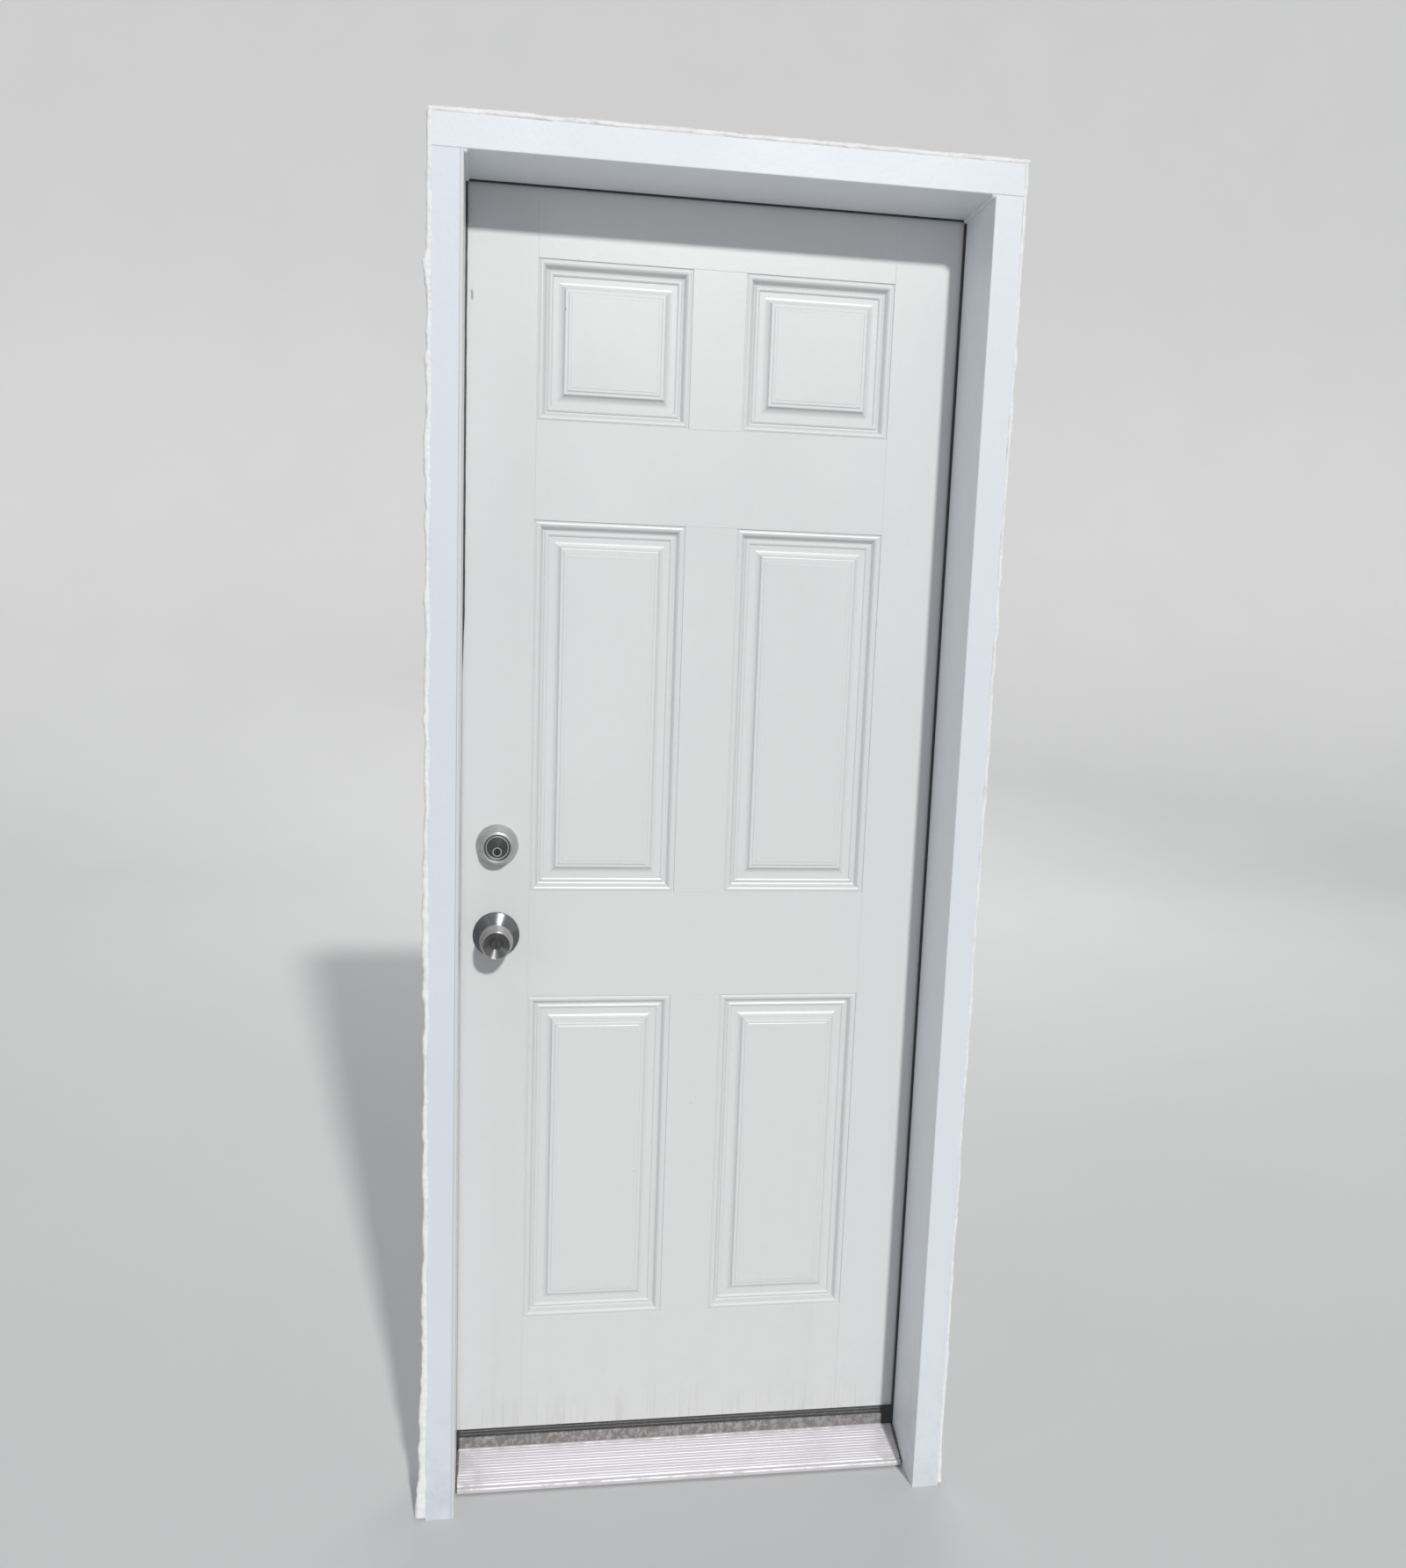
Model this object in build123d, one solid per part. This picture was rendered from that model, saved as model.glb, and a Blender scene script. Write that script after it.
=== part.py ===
from build123d import *
import math
import os

# Panelled front door hung in its rabbeted frame, with threshold, hinges and locks.
# Millimetres. X runs across the opening, the outside of the house faces -Y, Z is up.
# The origin is on the underside of the sill, at mid width and mid depth of the frame.
# The lock is on the -X side, the hinges are on the +X side and on the room side.

# Opening and frame
stop_gap_w = 736.6        # clear width between the stops
stop_proj = 12.7          # how far the stop stands in from the rabbet
jamb_stock = 31.75        # jamb thickness at the stop
jamb_depth = 116.0        # depth of the jambs behind the casing
casing_t = 38.0           # thickness of the flat outside casing
casing_w = 44.0           # width of its face
arris_r = 1.5             # soft edge of the casing
seal_gap = 4.8            # space between stop and leaf for the seal

# Leaf
leaf_t = 44.4
edge_gap = 3.2            # gap between leaf and rabbet at both sides
head_gap = 3.2            # gap between leaf and rabbet at the head
skin_t = 0.7              # pressed steel skin
lip_l = 14.0              # length of the skin's return along the leaf's edge
stile_w = 28.0            # width of the timber stiles and rails inside
rail_w = 28.0
stile_joint = 35.0        # the lock stile's lengths meet this far above and below each bolt
core_gap = 0.15           # adhesive line between foam core and skin

# Panels, from the bottom of the leaf upward
panel_w = 225.3
mullion_w = 78.8
bottom_rail_h = 189.3
low_panel_h = 537.9
lock_rail_h = 164.6
mid_panel_h = 559.1
cross_rail_h = 140.6
top_panel_h = 225.6
top_rail_h = 105.4
scribe_w = 0.8            # lines that mark the stiles and the mullion
scribe_d = 0.35

# Embossed moulding, as distance from the panel's edge and depth below the face
quirk_d = 1.8
bead_crest = 0.5
valley_d = 8.5
second_bead = 6.4
shoulder_d = 1.5
ring_w = 49.6

# Threshold
sub_sill_h = 9.0
sub_sill_front = 9.0      # setback of the board behind the nose
deck_h = 40.5             # top of the deck at its rear
deck_fall = 29.0          # fall of the deck toward the outside
deck_t = 2.4
deck_end_gap = 3.0        # deck stops short of the jambs
nose_front = 48.0         # setback of the nose behind the casing's face
nose_drop = 7.5
nose_r = 3.5
nose_clear = 1.0          # core stops this far above the foot of the nose
flute_n = 13
flute_w = 1.5
flute_d = 0.6
flute_rest = 1.5          # flat strip of the deck in front of the cap
groove_in = 2.0           # deeper groove's middle, measured from the nose's round
cap_h = 17.5              # height of the cap above the deck
cap_lead = 2.6            # how far the cap stands in front of the leaf
cap_r = 2.5

# Seals
seal_w = 12.0
seal_proud = 2.3          # bulb shows beyond the stop's edge at the head
seal_proud_hinge = 3.4    # the same along the hinge side
seal_proud_lock = 0.3     # the same along the lock side
seal_clear = 0.3
kerf_w = 3.0
kerf_d = 9.0
kerf_in = 5.2             # kerf's middle, measured from the rabbet's face
barb_play = 0.3
pad_w = 32.0              # width of the corner pad on the hinge side
pad_w_lock = 17.0         # the same on the lock side, worn narrower
pad_h = 31.5
sweep_h = 13.7
sweep_clear = 0.3
sweep_fin_t = 2.2
sweep_fin_n = 4

# Hinges
hinge_h = 101.6
hinge_leaf_w = 28.0
hinge_leaf_t = 2.2
knuckle_r = 6.0
knuckle_gap = 0.3
pin_r = 3.0
pin_play = 0.05
hinge_set = 6.5           # axis of the hinge beyond the room face of the leaf
hinge_top_drop = 178.0    # from the top of the leaf to the top hinge
hinge_low_rise = 280.0    # from the foot of the leaf to the low hinge

# Screws
screw_r = 2.2
screw_head_r = 4.3
screw_sink = 2.0
jamb_screw_l = 16.0
door_screw_l = 24.0
fix_hole_r = 3.0
fix_rise = 200.0          # lowest fixing hole above the floor
fix_pitch = 560.0
fix_n = 4

# Locks
backset = 64.0
knob_rise = 825.4         # knob axis above the foot of the leaf
lock_pitch = 139.7        # deadbolt axis above the knob axis
cross_bore_r = 27.0
edge_bore_r = 12.7
keep_bore_r = 14.3        # hole in the jamb for the deadbolt
keep_gap = (1.7, 2.0)     # play around a bolt in its strike, across and up
plate_w = 25.4
plate_h = 57.2
plate_t = 2.2
plate_screw_pitch = 41.2
strike_t = 1.6
strike_w = 28.6
block_w = 79.0
block_margin = 95.0
run_gap = 0.4             # free gap around the lock's sliding and turning pieces
bolt_r = 10.6
bolt_t = 14.0
bolt_l = 40.0
bolt_throw = 25.4
case_t = 12.0
case_h = 24.0
tube_wall = 1.4
latch_w = 12.7
latch_h = 15.9
latch_l = 33.0
latch_throw = 12.7
latch_case_t = 10.0
latch_case_h = 22.0
key_drop = 6.5            # key plug below the middle of the collar
key_r = 7.1
collar_r = 32.0
collar_top_r = 23.5
collar_h = 28.0
cylinder_r = 17.9
cylinder_h = 24.8
tail_w = 6.0
tail_t = 2.0
lock_screw_out = 21.3
turn_l = 34.0
turn_w = 8.5
turn_h = 17.0
hub_r = 8.0
plate_in_r = 31.0
plate_in_h = 9.0
rose_r = 35.5
rose_h = 13.0
neck_r = 13.0
knob_r = 25.2
knob_end_r = 21.2
knob_l = 70.0
dish_d = 9.0
spindle_r = 6.5
knob_key_r = 7.3
button_r = 4.5
chassis_r = 25.5
chassis_wall = 4.0

# Lines and faces that follow from the sizes
stop_x = stop_gap_w / 2
rabbet_x = stop_x + stop_proj
jamb_x = stop_x + jamb_stock
casing_x = stop_x + casing_w
leaf_x = rabbet_x - edge_gap
front_y = -(casing_t + jamb_depth) / 2
jamb_front_y = front_y + casing_t
back_y = jamb_front_y + jamb_depth
leaf_front_y = back_y - leaf_t
stop_back_y = leaf_front_y - seal_gap
leaf_mid_y = (leaf_front_y + back_y) / 2
cap_top = deck_h + cap_h
leaf_z0 = cap_top + sweep_clear + sweep_h
leaf_h = bottom_rail_h + low_panel_h + lock_rail_h + mid_panel_h + cross_rail_h + top_panel_h + top_rail_h
leaf_z1 = leaf_z0 + leaf_h
rabbet_z = leaf_z1 + head_gap
stop_z = rabbet_z - stop_proj
jamb_top = stop_z + jamb_stock
stile_x = leaf_x - skin_t
core_x = stile_x - stile_w
lock_x = -(leaf_x - backset)
knob_z = leaf_z0 + knob_rise
bolt_z = knob_z + lock_pitch
key_z = bolt_z - key_drop
axis_x = (leaf_x + rabbet_x) / 2
axis_y = back_y + hinge_set
hinge_zs = [
    leaf_z0 + hinge_low_rise + hinge_h / 2,
    leaf_z1 - hinge_top_drop - hinge_h / 2,
]
hinge_zs = [hinge_zs[0], (hinge_zs[0] + hinge_zs[1]) / 2, hinge_zs[1]]
hinge_names = ["low", "mid", "top"]


def block(x0, x1, y0, y1, z0, z1):
    """Box between two opposite corners."""
    middle = Pos((x0 + x1) / 2, (y0 + y1) / 2, (z0 + z1) / 2)
    return middle * Box(abs(x1 - x0), abs(y1 - y0), abs(z1 - z0))


def prism_z(points, z0, z1):
    """Outline in plan, raised from z0 to z1."""
    face = make_face(Polyline(*points, close=True))
    return extrude(Pos(0, 0, z0) * face, z1 - z0, dir=(0, 0, 1))


def prism_x(points, x0, x1):
    """Outline in the side view (y, z), drawn out from x0 to x1."""
    face = make_face(Polyline(*points, close=True))
    return extrude(Plane.YZ.offset(x0) * face, x1 - x0, dir=(1, 0, 0))


def rod_y(x, z, r, y0, y1):
    """Round bar along Y."""
    return Pos(x, (y0 + y1) / 2, z) * Rot(X=90) * Cylinder(r, y1 - y0)


def rod_x(y, z, r, x0, x1):
    """Round bar along X."""
    return Pos((x0 + x1) / 2, y, z) * Rot(Y=90) * Cylinder(r, abs(x1 - x0))


def turned(curves, x, z, side):
    """Form turned about an axis along Y, drawn as radius and height off the leaf's face."""
    body = revolve(Plane.XZ * make_face(curves), axis=Axis.Z)
    if side < 0:
        return Pos(x, leaf_front_y, z) * Rot(X=90) * body
    return Pos(x, back_y, z) * Rot(X=-90) * body


def run_of(points):
    """Straight curves through a row of points."""
    return [Line(a, b) for a, b in zip(points, points[1:])]


def screw(length):
    """Countersunk screw with a cross recess, its head's face at z 0 and its tip downward."""
    body = Pos(0, 0, -screw_sink / 2) * Cone(screw_r, screw_head_r, screw_sink)
    body += Pos(0, 0, -(screw_sink + length) / 2) * Cylinder(screw_r, length - screw_sink)
    for turn in (0, 90):
        body -= Rot(Z=turn) * Box(screw_head_r, 1.0, 2.2)
    return body


def screw_hole(length):
    """Hole that a screw of this length fills."""
    hole = Pos(0, 0, -screw_sink / 2) * Cone(screw_r, screw_head_r, screw_sink)
    return hole + Pos(0, 0, -(screw_sink + length) / 2) * Cylinder(screw_r, length - screw_sink)


def facing_x(side, x, y, z):
    """Place a screw so that its head shows on a face that looks toward side along X."""
    return Pos(x, y, z) * Rot(Y=90 * side)


def quad(points, depth_y):
    """Flat face through corners given as (x, depth, z)."""
    return Face(Wire.make_polygon([(x, depth_y(t), z) for x, t, z in points], close=True))


# Moulding ring pressed into the skins
def sample(curve, count):
    """Evenly spaced points of a curve, without its end."""
    spots = [curve @ (i / count) for i in range(count)]
    return [(p.X, p.Y) for p in spots]


def moulding(fine):
    """Profile of the moulding from the panel's edge to its flat field."""
    bead = ThreePointArc((2.0, quirk_d), (5.6, bead_crest), (9.4, 2.3))
    small = ThreePointArc((15.0, valley_d), (18.7, second_bead), (22.4, valley_d))
    cove = ThreePointArc((30.0, valley_d), (36.3, 6.2), (39.6, shoulder_d + 0.3))
    points = [(0.0, 0.0), (1.1, quirk_d)]
    points += sample(bead, 5 if fine else 2)
    points += [(9.4, 2.3), (13.0, valley_d - 0.7)]
    points += sample(small, 5 if fine else 2)
    points += [(22.4, valley_d)]
    points += sample(cove, 5 if fine else 2)
    points += [(39.6, shoulder_d + 0.3)]
    if fine:
        points += [(40.6, shoulder_d), (43.6, shoulder_d), (45.4, 0.35), (ring_w - 0.8, 0.35)]
    else:
        points += [(43.6, shoulder_d + 0.1), (46.0, 0.4)]
    return points + [(ring_w, 0.0)]


panel_xs = [
    (-mullion_w / 2 - panel_w, -mullion_w / 2),
    (mullion_w / 2, mullion_w / 2 + panel_w),
]
low_z0 = leaf_z0 + bottom_rail_h
mid_z0 = low_z0 + low_panel_h + lock_rail_h
top_z0 = mid_z0 + mid_panel_h + cross_rail_h
panel_zs = [
    (low_z0, low_z0 + low_panel_h),
    (mid_z0, mid_z0 + mid_panel_h),
    (top_z0, top_z0 + top_panel_h),
]
panels = [(x0, x1, z0, z1) for x0, x1 in panel_xs for z0, z1 in panel_zs]


def inset(panel, d):
    """Corners of a panel's rectangle moved in by d."""
    x0, x1, z0, z1 = panel
    return [(x0 + d, z0 + d), (x1 - d, z0 + d), (x1 - d, z1 - d), (x0 + d, z1 - d)]


def panelled_face(half_x, z0, z1, depth, depth_y, fine):
    """Rectangular face at a depth, with the moulding rings and fields of all panels."""
    corners = [(-half_x, z0), (half_x, z0), (half_x, z1), (-half_x, z1)]
    profile = moulding(fine)
    loop = Wire.make_polygon([(x, depth_y(depth), z) for x, z in corners], close=True)
    holes = []
    faces = []
    for panel in panels:
        rim = [(x, depth_y(depth), z) for x, z in inset(panel, 0)]
        holes.append(Wire.make_polygon(rim, close=True))
        for (d0, h0), (d1, h1) in zip(profile, profile[1:]):
            outer = inset(panel, d0)
            inner = inset(panel, d1)
            for k in range(4):
                n = (k + 1) % 4
                corner = [
                    (outer[k][0], depth + h0, outer[k][1]),
                    (outer[n][0], depth + h0, outer[n][1]),
                    (inner[n][0], depth + h1, inner[n][1]),
                    (inner[k][0], depth + h1, inner[k][1]),
                ]
                faces.append(quad(corner, depth_y))
        field = [(x, depth, z) for x, z in inset(panel, ring_w)]
        faces.append(quad(field, depth_y))
    faces.append(Face(loop, holes))
    return faces


def pressed_skin(face_y, inward):
    """Steel skin with pressed panels and a return lip along both long edges."""
    def depth_y(t):
        return face_y + inward * t

    faces = panelled_face(leaf_x, leaf_z0, leaf_z1, 0.0, depth_y, True)
    faces += panelled_face(stile_x, leaf_z0, leaf_z1, skin_t, depth_y, False)
    section = [
        (-leaf_x, 0), (leaf_x, 0), (leaf_x, lip_l), (stile_x, lip_l),
        (stile_x, skin_t), (-stile_x, skin_t), (-stile_x, lip_l), (-leaf_x, lip_l),
    ]
    for z in (leaf_z0, leaf_z1):
        faces.append(quad([(x, t, z) for x, t in section], depth_y))
    for s in (-1, 1):
        for x, t0, t1 in ((leaf_x, 0, lip_l), (stile_x, skin_t, lip_l)):
            edge = [(s * x, t0, leaf_z0), (s * x, t1, leaf_z0), (s * x, t1, leaf_z1), (s * x, t0, leaf_z1)]
            faces.append(quad(edge, depth_y))
        end = [
            (s * stile_x, lip_l, leaf_z0), (s * leaf_x, lip_l, leaf_z0),
            (s * leaf_x, lip_l, leaf_z1), (s * stile_x, lip_l, leaf_z1),
        ]
        faces.append(quad(end, depth_y))
    return Solid(Shell(faces))


def scribes(face_y, inward):
    """Fine V lines that carry the stiles through the rails and the rails through the mullion."""
    reach = 1.0
    base = 0.05
    half = scribe_w / 2 * (scribe_d + base) / scribe_d
    tip = face_y + inward * scribe_d
    out = face_y - inward * base
    cuts = []
    rails = [leaf_z0 - 2 * reach] + [z for pair in panel_zs for z in pair] + [leaf_z1 + 2 * reach]
    for z0, z1 in zip(rails[0::2], rails[1::2]):
        for s in (-1, 1):
            x = s * (mullion_w / 2 + panel_w)
            cuts.append(prism_z([(x - half, out), (x + half, out), (x, tip)], z0 - reach, z1 + reach))
    for z in rails[1:-1]:
        points = [(out, z - half), (out, z + half), (tip, z)]
        cuts.append(prism_x(points, -mullion_w / 2 - reach, mullion_w / 2 + reach))
    return cuts


# Places of the hinge screws on one hinge leaf, as distance from the axis side and height
hinge_screw_spots = [
    (hinge_leaf_w * 0.36, -hinge_h * 0.38), (hinge_leaf_w * 0.68, -hinge_h * 0.14),
    (hinge_leaf_w * 0.68, hinge_h * 0.14), (hinge_leaf_w * 0.36, hinge_h * 0.38),
]


def hinge_plate(side):
    """Flat of a hinge leaf: side +1 lies in the jamb, side -1 in the leaf's edge."""
    x0 = rabbet_x if side > 0 else leaf_x - hinge_leaf_t
    return block(x0, x0 + hinge_leaf_t, back_y - hinge_leaf_w, back_y, -hinge_h / 2, hinge_h / 2)


def hinge_leaf(side):
    """Hinge leaf with its knuckles, centred on z 0. The jamb's leaf has the odd knuckles."""
    plate = hinge_plate(side)
    x0 = rabbet_x if side > 0 else leaf_x - hinge_leaf_t
    pitch = (hinge_h + knuckle_gap) / 5
    for k in range(5):
        if (k % 2 == 0) != (side > 0):
            continue
        z0 = -hinge_h / 2 + k * pitch
        z1 = z0 + pitch - knuckle_gap
        plate += block(x0, x0 + hinge_leaf_t, back_y, axis_y, z0, z1)
        plate += Pos(axis_x, axis_y, (z0 + z1) / 2) * Cylinder(knuckle_r, z1 - z0)
    plate -= Pos(axis_x, axis_y, 0) * Cylinder(pin_r + pin_play, hinge_h + 2)
    face_x = rabbet_x if side > 0 else leaf_x
    length = jamb_screw_l if side > 0 else door_screw_l
    for dy, dz in hinge_screw_spots:
        plate -= facing_x(-side, face_x, back_y - dy, dz) * screw_hole(length)
    return plate


def hinge_screws(side):
    """Screws of all hinge leaves on one side."""
    face_x = rabbet_x if side > 0 else leaf_x
    length = jamb_screw_l if side > 0 else door_screw_l
    one = screw(length)
    spots = [(back_y - dy, z + dz) for z in hinge_zs for dy, dz in hinge_screw_spots]
    return [facing_x(-side, face_x, y, z) * one for y, z in spots]


def screw_holes(side, face_x, length, spots):
    """Pilot holes for a row of screws in a face that looks toward side."""
    hole = screw_hole(length)
    return [facing_x(side, face_x, y, z) * hole for y, z in spots]


def bolt_section(r, t, x0, x1, z):
    """Round bar along X with two flats, at the middle of the leaf's thickness."""
    bar = rod_x(leaf_mid_y, z, r, x0, x1)
    return bar & block(x0, x1, leaf_mid_y - t / 2, leaf_mid_y + t / 2, z - r, z + r)


# Frame
nodes = {}
fix_zs = [fix_rise + i * fix_pitch for i in range(fix_n)]
fix_y = (stop_back_y + back_y) / 2 - hinge_set
strike_spots = [(leaf_mid_y, z + s * plate_screw_pitch / 2) for z in (knob_z, bolt_z) for s in (-1, 1)]
hinge_spots = [(back_y - dy, z + dz) for z in hinge_zs for dy, dz in hinge_screw_spots]


def jamb_leg(side):
    """Jamb with its stop, rabbet, kerf for the seal and fixing holes."""
    outline = [
        (stop_x, jamb_front_y), (jamb_x, jamb_front_y), (jamb_x, back_y),
        (rabbet_x, back_y), (rabbet_x, stop_back_y), (stop_x, stop_back_y),
    ]
    leg = prism_z([(side * x, y) for x, y in outline], 0, jamb_top)
    kerf_x = side * (rabbet_x - kerf_in)
    leg -= block(kerf_x - kerf_w / 2, kerf_x + kerf_w / 2, stop_back_y - kerf_d, stop_back_y, deck_h, jamb_top)
    for z in fix_zs:
        leg -= rod_x(fix_y, z, fix_hole_r, side * (rabbet_x - 1), side * (jamb_x + 1))
    return leg


def keep(across, up, x0, x1, z):
    """Square hole that a bolt enters, with its play all round."""
    half_y = across / 2 + keep_gap[0]
    half_z = up / 2 + keep_gap[1]
    return block(x0, x1, leaf_mid_y - half_y, leaf_mid_y + half_y, z - half_z, z + half_z)


jamb_left = jamb_leg(-1)
jamb_right = jamb_leg(1)
for z in (knob_z, bolt_z):
    jamb_left -= block(
        -rabbet_x - strike_t, -rabbet_x, leaf_mid_y - strike_w / 2,
        back_y if z == knob_z else leaf_mid_y + strike_w / 2, z - plate_h / 2, z + plate_h / 2)
latch_pocket = latch_throw - edge_gap + 2.0
jamb_left -= keep(latch_w + 2, latch_h + 2, -rabbet_x - latch_pocket, -rabbet_x, knob_z)
jamb_left -= rod_x(leaf_mid_y, bolt_z, keep_bore_r, -jamb_x - 1, -rabbet_x)
for hole in screw_holes(1, -rabbet_x, jamb_screw_l, strike_spots):
    jamb_left -= hole
for z in hinge_zs:
    jamb_right -= Pos(0, 0, z) * hinge_plate(1)
for hole in screw_holes(-1, rabbet_x, jamb_screw_l, hinge_spots):
    jamb_right -= hole
nodes["jamb_left"] = jamb_left
nodes["jamb_right"] = jamb_right

head_kerf_z = rabbet_z - kerf_in
jamb_head = block(-stop_x, stop_x, jamb_front_y, stop_back_y, stop_z, jamb_top)
jamb_head += block(-rabbet_x, rabbet_x, stop_back_y, back_y, rabbet_z, jamb_top)
jamb_head -= block(
    -stop_x, stop_x, stop_back_y - kerf_d, stop_back_y, head_kerf_z - kerf_w / 2, head_kerf_z + kerf_w / 2)
nodes["jamb_head"] = jamb_head

for side, name in ((-1, "casing_left"), (1, "casing_right")):
    board = block(side * stop_x, side * casing_x, front_y, jamb_front_y, 0, stop_z)
    nodes[name] = fillet(board.edges().filter_by(Axis.Z).group_by(Axis.Y)[0], arris_r)
board = block(-casing_x, casing_x, front_y, jamb_front_y, stop_z, stop_z + casing_w)
nodes["casing_head"] = fillet(board.edges().filter_by(Axis.X).group_by(Axis.Y)[0], arris_r)

# Sill and threshold
cap_front_y = leaf_front_y - cap_lead
nose_y = front_y + nose_front
sub_front_y = nose_y + sub_sill_front


def between_jambs(z0, z1):
    """Space between the jambs in plan: narrow between the stops, wide in the rabbets."""
    space = block(-stop_x, stop_x, front_y, stop_back_y, z0, z1)
    return space + block(-rabbet_x, rabbet_x, stop_back_y, back_y, z0, z1)


nodes["sub_sill"] = between_jambs(0, sub_sill_h) & block(
    -rabbet_x, rabbet_x, sub_front_y, back_y, 0, sub_sill_h)

deck_flat_y = cap_front_y - flute_rest
deck_slope = deck_fall / (deck_flat_y - nose_y - nose_r)


def deck_z(y):
    """Top of the deck: flat at the rear, then falling toward the outside."""
    return deck_h - max(0.0, deck_flat_y - y) * deck_slope


groove_y = nose_y + nose_r + groove_in
flute_pitch = (deck_flat_y - groove_y) / (flute_n + 0.5)
deck_line = [(cap_front_y, deck_h), (deck_flat_y, deck_h)]
for i in range(flute_n):
    y = deck_flat_y - flute_pitch * (i + 0.5)
    for offset, sink in ((flute_w / 2, 0), (0, flute_d), (-flute_w / 2, 0)):
        deck_line.append((y + offset, deck_z(y + offset) - sink))
for offset, sink in ((flute_w, 0), (flute_w / 3, flute_d * 2), (-flute_w / 3, flute_d * 2), (-flute_w, 0)):
    deck_line.append((groove_y + offset, deck_z(groove_y + offset) - sink))
for step in range(6):
    turn = math.radians(90 + step * 18)
    centre_z = deck_z(nose_y + nose_r) - nose_r
    deck_line.append((nose_y + nose_r + nose_r * math.cos(turn), centre_z + nose_r * math.sin(turn)))
nose_bottom = deck_z(nose_y + nose_r) - nose_drop
lip_y = nose_y + deck_t
deck_line += [(nose_y, nose_bottom), (lip_y, nose_bottom), (lip_y, deck_z(nose_y + nose_r) - deck_t)]
deck_line += [(deck_flat_y, deck_h - deck_t), (cap_front_y, deck_h - deck_t)]
deck_end = stop_x - deck_end_gap
nodes["threshold_deck"] = prism_x(deck_line, -deck_end, deck_end)

core_line = [
    (sub_front_y, sub_sill_h), (back_y, sub_sill_h), (back_y, deck_h), (cap_front_y, deck_h),
    (cap_front_y, deck_h - deck_t), (deck_flat_y, deck_h - deck_t), (lip_y, deck_z(nose_y + nose_r) - deck_t),
    (lip_y, nose_bottom + nose_clear), (sub_front_y, nose_bottom + nose_clear),
]
nodes["sill_core"] = prism_x(core_line, -rabbet_x, rabbet_x) & between_jambs(0, cap_top)

cap = block(-rabbet_x, rabbet_x, cap_front_y, back_y, deck_h, cap_top)
cap = fillet(cap.edges().filter_by(Axis.X).group_by(Axis.Y)[0].sort_by(Axis.Z)[-1], cap_r)
for side, width in ((-1, pad_w_lock), (1, pad_w)):
    inner_x = side * (rabbet_x - width - seal_clear)
    cap -= block(inner_x, side * rabbet_x, cap_front_y, leaf_front_y, deck_h, cap_top)
nodes["threshold_cap"] = cap

# Seals on the frame
seal_y = leaf_front_y - seal_clear
barb_w = kerf_w - 2 * barb_play
barb_l = kerf_d - barb_play
pad_top = deck_h + pad_h
for side, name, proud, width in (
        (-1, "left", seal_proud_lock, pad_w_lock), (1, "right", seal_proud_hinge, pad_w)):
    seal_x = stop_x - proud
    bulb = block(side * seal_x, side * (seal_x + seal_w), stop_back_y, seal_y, pad_top, stop_z - seal_proud)
    bulb = fillet(bulb.edges().filter_by(Axis.Z).group_by(Axis.Y)[-1], seal_y - stop_back_y - seal_gap / 2)
    barb_x = side * (rabbet_x - kerf_in)
    bulb += block(
        barb_x - barb_w / 2, barb_x + barb_w / 2, stop_back_y - barb_l, stop_back_y + 1,
        pad_top, stop_z - seal_proud)
    nodes["weatherstrip_" + name] = bulb
    pad = [
        (rabbet_x, stop_back_y), (rabbet_x, seal_y), (rabbet_x - width + seal_gap, seal_y),
        (rabbet_x - width, stop_back_y + 1), (rabbet_x - width, stop_back_y),
    ]
    nodes["corner_pad_" + name] = prism_z([(side * x, y) for x, y in pad], deck_h, pad_top)
head_seal_x = stop_x - seal_proud + seal_w
bulb = block(
    -head_seal_x, head_seal_x, stop_back_y, seal_y, stop_z - seal_proud, stop_z - seal_proud + seal_w)
bulb = fillet(bulb.edges().filter_by(Axis.X).group_by(Axis.Y)[-1], seal_y - stop_back_y - seal_gap / 2)
bulb += block(
    -stop_x + barb_play, stop_x - barb_play, stop_back_y - barb_l, stop_back_y + 1,
    head_kerf_z - barb_w / 2, head_kerf_z + barb_w / 2)
nodes["weatherstrip_head"] = bulb

# Hinges: jamb leaves, door leaves, pins and screws
for z, name in zip(hinge_zs, hinge_names):
    nodes["hinge_jamb_" + name] = Pos(0, 0, z) * hinge_leaf(1)
    nodes["hinge_door_" + name] = Pos(0, 0, z) * hinge_leaf(-1)
    pin = Pos(axis_x, axis_y, z) * Cylinder(pin_r, hinge_h)
    pin += Pos(axis_x, axis_y, z + hinge_h / 2 + 1.2) * Cylinder(knuckle_r - 0.8, 2.4)
    pin += Pos(axis_x, axis_y, z - hinge_h / 2 - 0.8) * Cylinder(pin_r, 1.6)
    nodes["hinge_pin_" + name] = pin
nodes["hinge_jamb_screws"] = hinge_screws(1)
nodes["hinge_door_screws"] = hinge_screws(-1)

# Strikes
latch_strike_line = [
    (-rabbet_x, leaf_mid_y - strike_w / 2), (-rabbet_x, back_y), (-rabbet_x - 0.8, back_y + 2.4),
    (-rabbet_x - 2.4, back_y + 4.2), (-rabbet_x - 3.5, back_y + 3.0), (-rabbet_x - 2.2, back_y + 1.6),
    (-rabbet_x - strike_t, back_y), (-rabbet_x - strike_t, leaf_mid_y - strike_w / 2),
]
latch_strike = prism_z(latch_strike_line, knob_z - plate_h / 2, knob_z + plate_h / 2)
latch_strike -= keep(latch_w, latch_h, -rabbet_x - strike_t, -rabbet_x, knob_z)
bolt_strike = block(
    -rabbet_x - strike_t, -rabbet_x, leaf_mid_y - strike_w / 2, leaf_mid_y + strike_w / 2,
    bolt_z - plate_h / 2, bolt_z + plate_h / 2)
bolt_strike -= keep(bolt_t, bolt_r * 2, -rabbet_x - strike_t, -rabbet_x, bolt_z)
for hole in screw_holes(1, -rabbet_x, jamb_screw_l, strike_spots):
    latch_strike -= hole
    bolt_strike -= hole
nodes["latch_strike"] = latch_strike
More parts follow.
